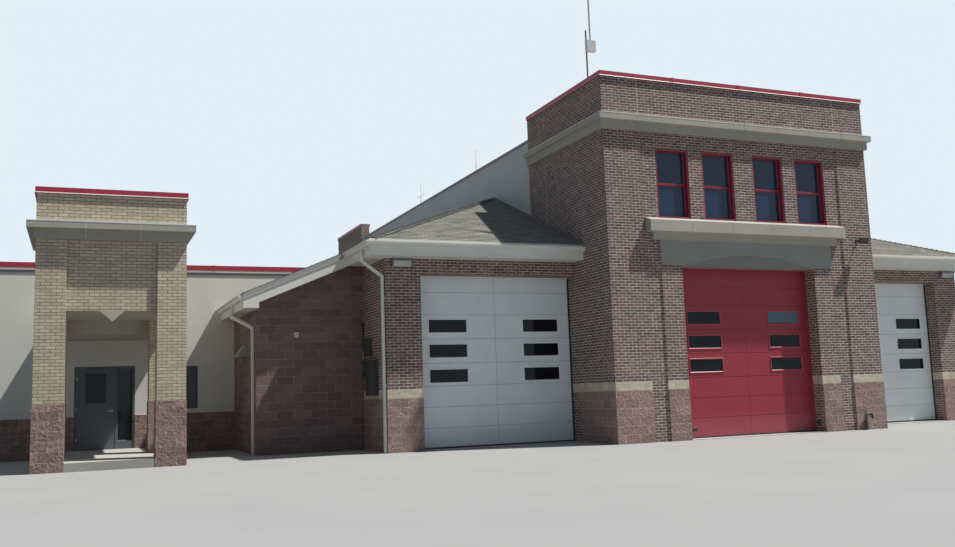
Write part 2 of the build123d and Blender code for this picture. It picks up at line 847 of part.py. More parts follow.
# Office wing: front wall in two lengths beside the doorway, the wall over it, and the rest
opening_left = entrance_x - frame_width / 2
opening_right = entrance_x + frame_width / 2
frame_top = office_floor_level + door_undercut + leaf_height + door_gap + frame_face
eave_clearance = gutter_edge + joint_gap
office_back = station_depth - office_front
window_mid_z = office_window_sill + office_window_height / 2
front_windows = [-office_window_near] + [-x for x in office_windows_left]
back_windows = [-office_window_near, entrance_x - office_window_width] + [-x for x in office_windows_left]
end_windows = [office_front + (office_back - office_front) * k / 4 for k in (1, 2, 3)]

with BuildPart() as office_front_walls:
    with BuildSketch(front_plane(office_front)):
        rect(-office_left, 0, opening_left, office_masonry_height)
        rect(opening_right, 0, -eave_clearance, office_masonry_height)
        rect(-eave_clearance, 0, -bay_side, soffit_level)
        with Locations(*[(x, window_mid_z) for x in front_windows]):
            Rectangle(office_window_width, office_window_height, mode=Mode.SUBTRACT)
    extrude(amount=-office_wall)
office_front_walls.part.label = "office_front_walls"
export_step(office_front_walls.part, "parts/office_front_walls.step")

with BuildPart() as office_wall_over_door:
    block(opening_left, office_front, frame_top, opening_right, office_front + office_wall,
          office_masonry_height)
office_wall_over_door.part.label = "office_wall_over_door"
export_step(office_wall_over_door.part, "parts/office_wall_over_door.step")

with BuildPart() as office_back_wall:
    with BuildSketch(front_plane(office_back - office_wall)):
        rect(-office_left, 0, -eave_clearance, office_masonry_height)
        rect(-eave_clearance, 0, -bay_side, soffit_level)
        with Locations(*[(x, window_mid_z) for x in back_windows]):
            Rectangle(office_window_width, office_window_height, mode=Mode.SUBTRACT)
    extrude(amount=-office_wall)
office_back_wall.part.label = "office_back_wall"
export_step(office_back_wall.part, "parts/office_back_wall.step")

with BuildPart() as office_end_wall:
    with BuildSketch(side_plane(-office_left)):
        rect(office_front + office_wall, 0, office_back - office_wall, office_masonry_height)
        with Locations(*[(y, window_mid_z) for y in end_windows]):
            Rectangle(office_window_width, office_window_height, mode=Mode.SUBTRACT)
    extrude(amount=office_wall)
office_end_wall.part.label = "office_end_wall"
export_step(office_end_wall.part, "parts/office_end_wall.step")

with BuildPart() as office_roof:
    block(-office_left + office_wall, office_front + office_wall, office_deck_bottom, -bay_side,
          office_back - office_wall, office_deck_bottom + office_deck_thickness)
office_roof.part.label = "office_roof"
export_step(office_roof.part, "parts/office_roof.step")

# Parapet trim of the office wing: coping above, a narrow strip and a band under it
trim_end = -eave_clearance

with BuildPart() as office_copings:
    cap(-office_left, office_front, trim_end, office_front + office_wall, office_masonry_height,
        office_coping_drop, "none")
    cap(-office_left, office_back - office_wall, trim_end, office_back, office_masonry_height,
        office_coping_drop, "none")
    block(-office_left - coping_lip, office_front + office_wall + coping_lip + joint_gap,
          office_masonry_height - office_coping_drop, -office_left + office_wall + coping_lip,
          office_back - office_wall - coping_lip - joint_gap, office_masonry_height + coping_skin)
    block(-office_left, office_front + office_wall, office_masonry_height - office_coping_drop,
          -office_left + office_wall, office_back - office_wall, office_masonry_height, Mode.SUBTRACT)
office_copings.part.label = "office_copings"
export_step(office_copings.part, "parts/office_copings.step")

strip_top = office_masonry_height - office_coping_drop
trim_bottom = strip_top - office_strip_height - office_band_height
trim_stop = -gutter_edge - (gutter_top - trim_bottom) / pitch - joint_gap

with BuildPart() as office_parapet_trim:
    for height, reach, top in (
        (office_strip_height, office_strip_relief, strip_top),
        (office_band_height, office_band_relief, strip_top - office_strip_height),
    ):
        with BuildSketch(Plane.XY.offset(top)):
            rect(-office_left - reach, office_front - reach, trim_end, office_back + reach)
            rect(-office_left, office_front, trim_end, office_back, Mode.SUBTRACT)
        extrude(amount=-height)
    for y0, y1 in ((office_front + office_wall, office_front + office_wall + joint_gap),
                   (office_back - office_wall - joint_gap, office_back - office_wall)):
        block(-office_left - office_strip_relief, y0, trim_bottom, -office_left, y1, strip_top, Mode.SUBTRACT)
    for y0, y1 in ((office_front - office_strip_relief, office_front),
                   (office_back, office_back + office_strip_relief)):
        block(trim_stop, y0, trim_bottom, trim_end, y1, strip_top, Mode.SUBTRACT)
office_parapet_trim.part.label = "office_parapet_trim"
export_step(office_parapet_trim.part, "parts/office_parapet_trim.step")

with BuildPart() as office_wainscot:
    with BuildSketch(Plane.XY):
        rect(-office_left - wainscot_relief, office_front - wainscot_relief, opening_left, office_front)
        rect(opening_right, office_front - wainscot_relief, -lean_to_side, office_front)
        rect(-office_left - wainscot_relief, office_front + joint_gap, -office_left, office_back)
        rect(-office_left - wainscot_relief, office_back + joint_gap, -lean_to_side,
             office_back + wainscot_relief)
    extrude(amount=wainscot_height)
    block(entrance_x - entrance_width / 2, entrance_front, 0, entrance_x + entrance_width / 2, office_front,
          office_floor_level, Mode.SUBTRACT)
office_wainscot.part.label = "office_wainscot"
export_step(office_wainscot.part, "parts/office_wainscot.step")

with BuildPart() as office_window_frames:
    for plane, places in (
        (front_plane(office_front + office_frame_setback), [(x, window_mid_z) for x in front_windows]),
        (front_plane(office_back - office_frame_setback - office_frame_depth),
         [(x, window_mid_z) for x in back_windows]),
        (side_plane(-office_left + office_frame_setback + office_frame_depth),
         [(y, window_mid_z) for y in end_windows]),
    ):
        with BuildSketch(plane):
            with Locations(*places):
                Rectangle(office_window_width, office_window_height)
                Rectangle(office_window_width - 2 * office_frame_face,
                          office_window_height - 2 * office_frame_face, mode=Mode.SUBTRACT)
        extrude(amount=-office_frame_depth)
office_window_frames.part.label = "office_window_frames"
export_step(office_window_frames.part, "parts/office_window_frames.step")

# Glass of the tower windows, the office windows and the sidelight
clear_width = office_window_width - 2 * office_frame_face
clear_height = office_window_height - 2 * office_frame_face
half_pane = (window_height - 3 * window_frame_face) / 2
sidelight_left = opening_left + frame_face + hinge_gap + leaf_width + door_gap + frame_face
sidelight_right = opening_right - frame_face

with BuildPart() as window_glass:
    with BuildSketch(front_plane(glass_plane)):
        for x in window_centers:
            for z in (-1, 1):
                with Locations((x, window_middle + z * (half_pane + window_frame_face) / 2)):
                    Rectangle(window_width - 2 * window_frame_face, half_pane)
    extrude(amount=-glass_thickness)
    mirror(about=middle)
    for plane, places in (
        (front_plane(office_front + office_frame_setback + office_glass_setback),
         [(x, window_mid_z) for x in front_windows]),
        (front_plane(office_back - office_frame_setback - office_glass_setback - glass_thickness),
         [(x, window_mid_z) for x in back_windows]),
        (side_plane(-office_left + office_frame_setback + office_glass_setback + glass_thickness),
         [(y, window_mid_z) for y in end_windows]),
    ):
        with BuildSketch(plane):
            with Locations(*places):
                Rectangle(clear_width, clear_height)
        extrude(amount=-glass_thickness)
    with BuildSketch(front_plane(office_front + frame_depth / 2)):
        rect(sidelight_left, office_floor_level + sidelight_rail, sidelight_right, frame_top - frame_face)
    extrude(amount=-glass_thickness)
window_glass.part.label = "window_glass"
export_step(window_glass.part, "parts/window_glass.step")

# Entrance tower: four piers on block bases, walls over them, cornice, coping and ceiling
entrance_half = entrance_width / 2
pier_middle = entrance_half - entrance_pier / 2
entrance_y = entrance_front + entrance_half
entrance_plane = Plane(origin=(entrance_x, entrance_y, 0))
pier_places = [(sx * pier_middle, sy * pier_middle) for sx in (-1, 1) for sy in (-1, 1)]

with BuildPart() as entrance_bases:
    with BuildSketch(entrance_plane):
        with Locations(*pier_places):
            Rectangle(entrance_pier + 2 * block_relief, entrance_pier + 2 * block_relief)
    extrude(amount=entrance_block_height)
entrance_bases.part.label = "entrance_bases"
export_step(entrance_bases.part, "parts/entrance_bases.step")

with BuildPart() as entrance_piers:
    with BuildSketch(entrance_plane.offset(entrance_block_height)):
        with Locations(*pier_places):
            Rectangle(entrance_pier, entrance_pier)
    extrude(amount=entrance_opening_height - entrance_block_height)
entrance_piers.part.label = "entrance_piers"
export_step(entrance_piers.part, "parts/entrance_piers.step")

with BuildPart() as entrance_upper_walls:
    with BuildSketch(entrance_plane.offset(entrance_opening_height)):
        Rectangle(entrance_width, entrance_width)
        Rectangle(entrance_width - 2 * entrance_wall, entrance_width - 2 * entrance_wall, mode=Mode.SUBTRACT)
    extrude(amount=entrance_masonry_height - entrance_opening_height)
    with BuildSketch(entrance_plane.offset(entrance_opening_height)):
        with Locations((0, entrance_half), (0, -entrance_half)):
            Rectangle(entrance_width - 2 * entrance_pier, 2 * entrance_recess)
        with Locations((entrance_half, 0), (-entrance_half, 0)):
            Rectangle(2 * entrance_recess, entrance_width - 2 * entrance_pier)
    extrude(amount=entrance_recess_top - entrance_opening_height, mode=Mode.SUBTRACT)
entrance_upper_walls.part.label = "entrance_upper_walls"
export_step(entrance_upper_walls.part, "parts/entrance_upper_walls.step")

with BuildPart() as entrance_cornice:
    for height, reach, base in (
        (entrance_frieze_height, entrance_frieze_relief, entrance_frieze_bottom),
        (entrance_ledge_height, entrance_ledge_reach, entrance_frieze_bottom + entrance_frieze_height),
    ):
        with BuildSketch(entrance_plane.offset(base)):
            Rectangle(entrance_width + 2 * reach, entrance_width + 2 * reach)
            Rectangle(entrance_width, entrance_width, mode=Mode.SUBTRACT)
        extrude(amount=height)
        for place in [side * place for place in entrance_seams for side in (-1, 1)]:
            front_seam(entrance_x + place, entrance_front - reach, base, base + height)
            front_seam(entrance_x + place, entrance_back + reach - seam_depth, base, base + height)
            side_seam(entrance_x + entrance_half + reach, entrance_y + place, base, base + height)
            side_seam(entrance_x - entrance_half - reach + seam_depth, entrance_y + place, base, base + height)
entrance_cornice.part.label = "entrance_cornice"
export_step(entrance_cornice.part, "parts/entrance_cornice.step")

with BuildPart() as entrance_coping:
    with BuildSketch(entrance_plane.offset(entrance_masonry_height - tower_coping_drop)):
        Rectangle(entrance_width + 2 * coping_lip, entrance_width + 2 * coping_lip)
        Rectangle(entrance_width - 2 * entrance_wall - 2 * coping_lip,
                  entrance_width - 2 * entrance_wall - 2 * coping_lip, mode=Mode.SUBTRACT)
    extrude(amount=tower_coping_drop + coping_skin)
    with BuildSketch(entrance_plane.offset(entrance_masonry_height - tower_coping_drop)):
        Rectangle(entrance_width, entrance_width)
        Rectangle(entrance_width - 2 * entrance_wall, entrance_width - 2 * entrance_wall, mode=Mode.SUBTRACT)
    extrude(amount=tower_coping_drop, mode=Mode.SUBTRACT)
entrance_coping.part.label = "entrance_coping"
export_step(entrance_coping.part, "parts/entrance_coping.step")

with BuildPart() as entrance_ceiling:
    with BuildSketch(entrance_plane.offset(entrance_opening_height)):
        Rectangle(entrance_width - 2 * entrance_wall, entrance_width - 2 * entrance_wall)
    extrude(amount=ceiling_thickness)
    with BuildSketch(entrance_plane.offset(entrance_masonry_height - 3 * tower_coping_drop)):
        Rectangle(entrance_width - 2 * entrance_wall, entrance_width - 2 * entrance_wall)
    extrude(amount=-ceiling_thickness)
    block(entrance_x - entrance_half, entrance_back, entrance_opening_height - beam_drop,
          entrance_x + entrance_half, office_front, entrance_opening_height)
    block(entrance_x - entrance_half + entrance_pier, entrance_back - beam_thickness,
          entrance_opening_height - beam_drop, entrance_x + entrance_half - entrance_pier, entrance_back,
          entrance_opening_height)
    with BuildSketch(front_plane(entrance_front + entrance_recess)):
        with BuildLine():
            Polyline((entrance_x - pendant_width / 2, entrance_opening_height),
                     (entrance_x + pendant_width / 2, entrance_opening_height),
                     (entrance_x, entrance_opening_height - pendant_drop), close=True)
        make_face()
    extrude(amount=-pendant_thickness)
entrance_ceiling.part.label = "entrance_ceiling"
export_step(entrance_ceiling.part, "parts/entrance_ceiling.step")

# Floors
with BuildPart() as porch_slab:
    block(entrance_x - entrance_half, entrance_front, 0, entrance_x + entrance_half, office_front,
          office_floor_level)
    with BuildSketch(entrance_plane):
        with Locations(*pier_places):
            Rectangle(entrance_pier + 2 * block_relief, entrance_pier + 2 * block_relief)
    extrude(amount=office_floor_level, mode=Mode.SUBTRACT)
porch_slab.part.label = "porch_slab"
export_step(porch_slab.part, "parts/porch_slab.step")

with BuildPart() as office_floor:
    block(-office_left + office_wall, office_front + office_wall, 0, -bay_side, office_back - office_wall,
          office_floor_level)
    block(opening_left, office_front, 0, opening_right, office_front + office_wall, office_floor_level)
office_floor.part.label = "office_floor"
export_step(office_floor.part, "parts/office_floor.step")

with BuildPart() as bay_floor:
    with BuildSketch(Plane.XY):
        rect(-tower_side + wall, wall, tower_side - wall, station_depth - wall)
        rect(-door_half, 0, door_half, station_depth)
    extrude(amount=bay_floor_thickness)
    for side in (-1, 1):
        block(side * (hall_side - hall_wall), tower_depth, 0, side * tower_side, station_depth - tower_depth,
              bay_floor_thickness, Mode.SUBTRACT)
        with BuildSketch(Plane.XY):
            rect(side * tower_side, bay_door_plane, side * (bay_side - wall), station_depth - bay_door_plane)
            rect(side * hall_side, tower_depth, side * tower_side, station_depth - tower_depth)
            rect(side * tower_side, bay_front, side * bay_door_outer, bay_door_plane)
            rect(side * tower_side, station_depth - bay_front, side * bay_door_outer,
                 station_depth - bay_door_plane)
        extrude(amount=bay_floor_thickness)
bay_floor.part.label = "bay_floor"
export_step(bay_floor.part, "parts/bay_floor.step")

# Entrance door: steel frame with a sidelight, and the leaf that swings out into the porch
leaf_left = opening_left + frame_face + hinge_gap
leaf_right = leaf_left + leaf_width
leaf_bottom = office_floor_level + door_undercut
leaf_top = leaf_bottom + leaf_height
leaf_front = office_front + leaf_setback
leaf_back = leaf_front + door_leaf_thickness
pin_x = leaf_left - hinge_gap / 2
pin_y = office_front - hinge_reach

with BuildPart() as door_frame:
    with BuildSketch(front_plane(office_front)):
        rect(opening_left, office_floor_level, opening_right, frame_top)
        rect(opening_left + frame_face, office_floor_level, leaf_right + door_gap, frame_top - frame_face,
             Mode.SUBTRACT)
        rect(sidelight_left, office_floor_level + sidelight_rail, sidelight_right, frame_top - frame_face,
             Mode.SUBTRACT)
    extrude(amount=-frame_depth)
    with BuildSketch(front_plane(leaf_back + door_gap)):
        rect(opening_left + frame_face, office_floor_level, leaf_right + door_gap, frame_top - frame_face)
        rect(opening_left + frame_face + stop_width, office_floor_level, leaf_right + door_gap - stop_width,
             frame_top - frame_face - stop_width, Mode.SUBTRACT)
    extrude(amount=-stop_depth)
    block(opening_left + frame_face, office_front, office_floor_level, leaf_right + door_gap,
          office_front + frame_depth, office_floor_level + threshold_height)
    for height in hinge_heights:
        z = leaf_bottom + height
        for side in (-1, 1):
            near = z + side * (knuckle_height / 2 + knuckle_gap)
            far = near + side * frame_knuckle_height
            with Locations((pin_x, pin_y, (near + far) / 2)):
                Cylinder(hinge_radius, frame_knuckle_height)
            block(pin_x - hinge_leaf_reach, pin_y - hinge_radius / 2, near, pin_x, office_front, far)
door_frame.part.label = "door_frame"
export_step(door_frame.part, "parts/door_frame.step")

lite_left = (leaf_left + leaf_right - lite_width) / 2
lite_bottom = leaf_bottom + lite_sill

with BuildPart() as entrance_door:
    with BuildSketch(front_plane(leaf_front)):
        rect(leaf_left, leaf_bottom, leaf_right, leaf_top)
        rect(lite_left, lite_bottom, lite_left + lite_width, lite_bottom + lite_height, Mode.SUBTRACT)
    extrude(amount=-door_leaf_thickness)
    for height in hinge_heights:
        z = leaf_bottom + height
        with Locations((pin_x, pin_y, z)):
            Cylinder(hinge_radius, knuckle_height)
        block(pin_x + hinge_leaf_gap, pin_y, z - knuckle_height / 2, pin_x + hinge_leaf_reach, leaf_front,
              z + knuckle_height / 2)
    lever_x = leaf_right - lever_inset
    lever_z = leaf_bottom + lever_height
    for y, out in ((leaf_front, -1), (leaf_back, 1)):
        with Locations(Plane(origin=(lever_x, y, lever_z), x_dir=(1, 0, 0), z_dir=(0, out, 0))):
            Cylinder(rose_radius, rose_thickness, align=(Align.CENTER, Align.CENTER, Align.MIN))
            Cylinder(spindle_radius, lever_reach, align=(Align.CENTER, Align.CENTER, Align.MIN))
        block(lever_x + spindle_radius, y + out * (lever_reach - lever_thickness), lever_z - lever_thickness / 2,
              lever_x - lever_length, y + out * lever_reach, lever_z + lever_thickness / 2)
entrance_door.part.label = "entrance_door"
export_step(entrance_door.part, "parts/entrance_door.step")

with BuildPart() as entrance_door_glass:
    with BuildSketch(front_plane(leaf_front + (door_leaf_thickness - door_glass_thickness) / 2)):
        rect(lite_left, lite_bottom, lite_left + lite_width, lite_bottom + lite_height)
    extrude(amount=-door_glass_thickness)
entrance_door_glass.part.label = "entrance_door_glass"
export_step(entrance_door_glass.part, "parts/entrance_door_glass.step")


# Rainwater pipes from the gutter outlets back to the side walls and down to the ground
def rain_pipe(outlet, wall_x, wall_y, bend_top, bend_bottom):
    """Pipe that leaves a gutter at a point, bends back to the wall and runs down to the ground."""
    x, y, z = outlet
    with BuildLine() as route:
        Polyline(outlet, (x, y, bend_top), (wall_x, wall_y, bend_bottom), (wall_x, wall_y, 0))
    with BuildSketch(Plane(origin=outlet, x_dir=(0, 1, 0), z_dir=(0, 0, -1))) as section:
        Rectangle(pipe_width, pipe_depth)
    sweep(section.sketch, path=route.line, transition=Transition.RIGHT)


with BuildPart() as downspouts:
    strap_out = block_relief + pipe_standoff
    for side in (-1, 1):
        rain_pipe((side * (fascia_edge + gutter_foot / 2), side_pipe_y, gutter_top - gutter_height),
                  side * (bay_side + strap_out + pipe_depth / 2), side_pipe_y,
                  soffit_level - pipe_width, soffit_level - pipe_drop)
        for z in strap_heights:
            block(side * bay_side, side_pipe_y - pipe_width / 2, z, side * (bay_side + strap_out),
                  side_pipe_y + pipe_width / 2, z + strap_height)
    rain_pipe((-lean_to_fascia_edge - gutter_foot / 2, lean_to_outlet_y, lean_to_gutter_top - gutter_height),
              -lean_to_side - pipe_standoff - pipe_depth / 2, lean_to_pipe_y,
              box_bottom - pipe_width, lean_to_gutter_top - gutter_height - lean_to_drop)
    for z in strap_heights[:1]:
        block(-lean_to_side - pipe_standoff, lean_to_pipe_y - pipe_width / 2, z, -lean_to_side,
              lean_to_pipe_y + pipe_width / 2, z + strap_height)
    mirror(about=middle)
downspouts.part.label = "downspouts"
export_step(downspouts.part, "parts/downspouts.step")

# Lamps: wall packs under the low eaves, a flood lamp beside the canopy, a twin lamp on the lean-to
upright = (Align.CENTER, Align.CENTER, Align.MIN)

with BuildPart() as wall_lamps:
    with BuildSketch(side_plane(bay_side - pack_inset - pack_width / 2)):
        with BuildLine():
            Polyline((bay_front, pack_bottom), (bay_front, pack_bottom + pack_height),
                     (bay_front - pack_depth, pack_bottom + pack_height),
                     (bay_front - pack_depth, pack_bottom + pack_lens), (bay_front - pack_depth / 2, pack_bottom),
                     close=True)
        make_face()
    extrude(amount=pack_width)
    mirror(about=Plane.YZ)
    with Locations(Plane(origin=(flood_x, 0, flood_z), x_dir=(1, 0, 0), z_dir=(0, -1, 0))):
        Cylinder(lamp_plate, lamp_plate_thickness, align=upright)
        Cylinder(lamp_arm_radius, flood_arm + flood_rim, align=upright)
    flood_back = Plane(origin=(flood_x, -flood_arm, flood_z), x_dir=(1, 0, 0), z_dir=(0, -1, 0)).rotated(
        (flood_tilt, 0, 0)
    )
    with BuildSketch(flood_back):
        Rectangle(flood_width / 2, flood_height / 2)
    with BuildSketch(flood_back.offset(flood_depth - flood_rim)):
        Rectangle(flood_width, flood_height)
    loft()
    with BuildSketch(flood_back.offset(flood_depth - flood_rim)):
        Rectangle(flood_width, flood_height)
    extrude(amount=flood_rim)
    mirror(about=middle)
    twin_middle = Plane(origin=(twin_x, lean_to_front - twin_thickness / 2, twin_z), x_dir=(1, 0, 0),
                        z_dir=(0, -1, 0))
    with Locations(twin_middle):
        Box(twin_plate, twin_plate, twin_thickness)
    for side in (-1, 1):
        with Locations(twin_middle.rotated((twin_turn, side * twin_turn, 0))):
            Cylinder(twin_head_radius, twin_head_length, align=upright)
wall_lamps.part.label = "wall_lamps"
export_step(wall_lamps.part, "parts/wall_lamps.step")

# Fittings: switch box, cabinet and conduit on the left bay, vent hood on the lean-to, and a vent
# pipe with a return bend in front of the right pilaster
with BuildPart() as service_fittings:
    for (width, depth, height), front, bottom in (
        (switch_box, switch_box_front, switch_box_bottom), (cabinet, cabinet_front, cabinet_bottom)
    ):
        block(-bay_side - depth, front, bottom, -bay_side, front + width, bottom + height)
    conduit_x = -bay_side - conduit_standoff - conduit_radius
    with Locations((conduit_x, conduit_y, conduit_bottom)):
        Cylinder(conduit_radius, conduit_top - conduit_bottom, align=upright)
    for z in (conduit_bottom, conduit_top - junction_box):
        block(-bay_side, conduit_y - junction_box / 2, z, conduit_x - conduit_radius - conduit_standoff,
              conduit_y + junction_box / 2, z + junction_box)
    with BuildSketch(front_plane(hood_front)):
        with BuildLine():
            Polyline((-lean_to_side, hood_bottom), (-lean_to_side, hood_bottom + hood_height),
                     (-lean_to_side - hood_lip, hood_bottom + hood_height),
                     (-lean_to_side - hood_reach, hood_bottom + hood_lip),
                     (-lean_to_side - hood_reach, hood_bottom), close=True)
        make_face()
    extrude(amount=-hood_width)
    vent_y = -block_relief - vent_standoff
    with BuildLine() as vent_route:
        riser = Line((vent_x, vent_y, 0), (vent_x, vent_y, vent_rise))
        ThreePointArc(riser @ 1, (vent_x + vent_span / 2, vent_y, vent_rise + vent_span / 2),
                      (vent_x + vent_span, vent_y, vent_rise))
        Line((vent_x + vent_span, vent_y, vent_rise), (vent_x + vent_span, vent_y, vent_mouth))
    with BuildSketch(Plane.XY) as vent_ring:
        with Locations((vent_x, vent_y)):
            Circle(vent_radius)
    sweep(vent_ring.sketch, path=vent_route.line)
    with Locations((vent_x + vent_span, vent_y, vent_mouth)):
        Cylinder(vent_radius - vent_wall, vent_radius, align=upright, mode=Mode.SUBTRACT)
    block(vent_x - strap_height / 2, vent_y, vent_clamp_height, vent_x + strap_height / 2, -block_relief,
          vent_clamp_height + strap_height)
service_fittings.part.label = "service_fittings"
export_step(service_fittings.part, "parts/service_fittings.step")

# Mast inside the left parapet of the front tower, and the antennas on it and on the hall roof
deck_top = roof_deck_bottom + roof_deck_thickness
clamp_y = mast_y - mast_radius - bracket_size / 2
radio_bottom = deck_top + radio_box_height

with BuildPart() as roof_mast:
    with Locations((mast_x, mast_y, deck_top)):
        Cylinder(mast_radius, mast_height, align=upright)
    block(mast_x - mast_radius - bracket_size, mast_y - mast_plate / 2, deck_top, mast_x + mast_plate / 2,
          mast_y + mast_plate / 2, deck_top + mast_plate_thickness)
    for z in bracket_heights:
        block(-tower_side + wall, mast_y - bracket_size / 2, deck_top + z, mast_x, mast_y + bracket_size / 2,
              deck_top + z + bracket_size)
    block(mast_x - bracket_size / 2, clamp_y, radio_bottom + bracket_size, mast_x + bracket_size / 2, mast_y,
          radio_bottom + radio_box[2] - bracket_size)
roof_mast.part.label = "roof_mast"
export_step(roof_mast.part, "parts/roof_mast.step")

with BuildPart() as antennas:
    block(mast_x - radio_box_left, clamp_y - radio_box[1], radio_bottom, mast_x - radio_box_left + radio_box[0],
          clamp_y, radio_bottom + radio_box[2])
    with Locations((mast_x - radio_box_left + radio_box[0] / 2, clamp_y - radio_box[1] / 2, radio_bottom)):
        Cylinder(aerial_radius, deck_top + aerial_top - radio_bottom, align=upright)
    whip_x = -hall_side + hall_wall + whip_inset
    for y, top in zip(whip_places, whip_top):
        block(whip_x - bracket_size, y - bracket_size, deck_top, whip_x + bracket_size, y + bracket_size,
              deck_top + mast_plate_thickness)
        with Locations((whip_x, y, deck_top)):
            Cylinder(whip_pole_radius, whip_base, align=upright)
            Cylinder(whip_radius, top, align=upright)
    cross_y = whip_places[1]
    cross_z = deck_top + whip_base
    block(whip_x - whip_radius, cross_y - cross_length / 2, cross_z - whip_radius, whip_x + whip_radius,
          cross_y + cross_length / 2, cross_z + whip_radius)
    for side in (-1, 1):
        with Locations((whip_x, cross_y + side * (cross_length / 2 - whip_radius), cross_z)):
            Cylinder(whip_radius, cross_prong, align=upright)
antennas.part.label = "antennas"
export_step(antennas.part, "parts/antennas.step")
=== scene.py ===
"""Looks of the fire station: the finish of every built part, and the thin pieces laid on them."""
import math

import bpy
import numpy as np
from mathutils import Matrix


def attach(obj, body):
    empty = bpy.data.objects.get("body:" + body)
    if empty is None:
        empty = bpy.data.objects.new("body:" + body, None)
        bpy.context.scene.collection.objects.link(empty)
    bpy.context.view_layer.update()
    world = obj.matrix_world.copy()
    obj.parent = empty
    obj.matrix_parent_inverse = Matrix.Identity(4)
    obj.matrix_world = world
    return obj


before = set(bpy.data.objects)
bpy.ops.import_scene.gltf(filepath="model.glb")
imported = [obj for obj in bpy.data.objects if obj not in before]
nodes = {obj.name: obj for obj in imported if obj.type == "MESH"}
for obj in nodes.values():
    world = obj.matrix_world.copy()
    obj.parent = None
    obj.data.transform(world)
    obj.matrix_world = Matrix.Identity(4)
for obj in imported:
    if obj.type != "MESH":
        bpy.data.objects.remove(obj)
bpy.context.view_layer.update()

# The view
# The camera stands left of the front at eye height and looks slightly up and to the right. Its
# lens and its turn were worked out from edges of the real building.
yaw, pitch, roll = (math.radians(a) for a in (22.82, 7.10, -1.94))
ahead = np.array([math.sin(yaw) * math.cos(pitch), math.cos(yaw) * math.cos(pitch), math.sin(pitch)])
level = np.array([math.cos(yaw), -math.sin(yaw), 0.0])
above = np.cross(level, ahead)
right = math.cos(roll) * level + math.sin(roll) * above
up = -math.sin(roll) * level + math.cos(roll) * above
eye = (-15.494, -19.16, 1.31)
sensor_width = 36.0
picture_width = 955
focal_pixels = 949.4

camera = bpy.data.objects.new("camera", bpy.data.cameras.new("camera"))
bpy.context.scene.collection.objects.link(camera)
rows = [[right[i], up[i], -ahead[i], eye[i]] for i in range(3)]
camera.matrix_world = Matrix(rows + [[0.0, 0.0, 0.0, 1.0]])
camera.data.sensor_width = sensor_width
camera.data.lens = focal_pixels / picture_width * sensor_width
camera.data.clip_end = 500.0
bpy.context.scene.camera = camera
bpy.context.scene.view_settings.view_transform = "Standard"


# Ground and light
# A level pale floor carries the building; rays other than the camera's see it darker farther out,
# so that the shade stays deep. One lamp stands high to the right, a little in front, for long
# shadows under ledges and eaves, and an even sky fills the shade.
def add_node(tree, kind, inputs=None, **settings):
    """Adds a shader node, sets its settings, and fills or links its inputs by name or number."""
    node = tree.nodes.new(kind)
    for name, value in settings.items():
        setattr(node, name, value)
    for name, value in (inputs or {}).items():
        if isinstance(value, bpy.types.NodeSocket):
            tree.links.new(value, node.inputs[name])
        else:
            node.inputs[name].default_value = value
    return node


def new_material(name, **values):
    """A material with a Principled shader whose uniform values are set on its own sockets."""
    material = bpy.data.materials.new(name)
    material.use_nodes = True
    tree = material.node_tree
    tree.nodes.clear()
    shader = add_node(tree, "ShaderNodeBsdfPrincipled", values)
    output = add_node(tree, "ShaderNodeOutputMaterial")
    tree.links.new(shader.outputs["BSDF"], output.inputs["Surface"])
    return material, tree, shader


def math_node(tree, operation, first, second=0.5, clamp=False):
    """Output of a Math node on two values or sockets."""
    node = add_node(tree, "ShaderNodeMath", {0: first, 1: second}, operation=operation, use_clamp=clamp)
    return node.outputs[0]


def times(tree, first, second):
    """Product of two values or sockets."""
    return math_node(tree, "MULTIPLY", first, second)


def noise(tree, place, scale, detail=3.0, roughness=0.55):
    """Output of a noise texture at places given in metres; scale is its grains per metre."""
    settings = {"Vector": place, "Scale": scale, "Detail": detail, "Roughness": roughness}
    return add_node(tree, "ShaderNodeTexNoise", settings).outputs["Fac"]


def object_place(tree):
    """Place on the object, in metres."""
    return add_node(tree, "ShaderNodeTexCoord").outputs["Object"]


def remap(tree, value, start, stop, first, last):
    """Value carried from start..stop to first..last, and held at its ends."""
    limits = {"Value": value, "From Min": start, "From Max": stop, "To Min": first, "To Max": last}
    return add_node(tree, "ShaderNodeMapRange", limits).outputs[0]


def blend(tree, share, first, second, mode="MIX"):
    """Colour mixed from first to second by share."""
    values = {"Factor": share, 6: first, 7: second}
    return add_node(tree, "ShaderNodeMix", values, data_type="RGBA", blend_type=mode).outputs[2]


def ramp(tree, value, stops):
    """Colour ramp with (position, colour) stops."""
    node = add_node(tree, "ShaderNodeValToRGB", {"Fac": value})
    while len(node.color_ramp.elements) < len(stops):
        node.color_ramp.elements.new(0.5)
    for element, (position, color) in zip(node.color_ramp.elements, stops):
        element.position = position
        element.color = color
    return node.outputs["Color"]


def rgb(r, g, b):
    """Opaque colour."""
    return (r, g, b, 1.0)


def gray(v):
    """Opaque grey."""
    return (v, v, v, 1.0)


def scaled(color, factor):
    """Opaque colour made darker or lighter by a factor, no channel over one."""
    return rgb(*[min(1.0, c * factor) for c in color])


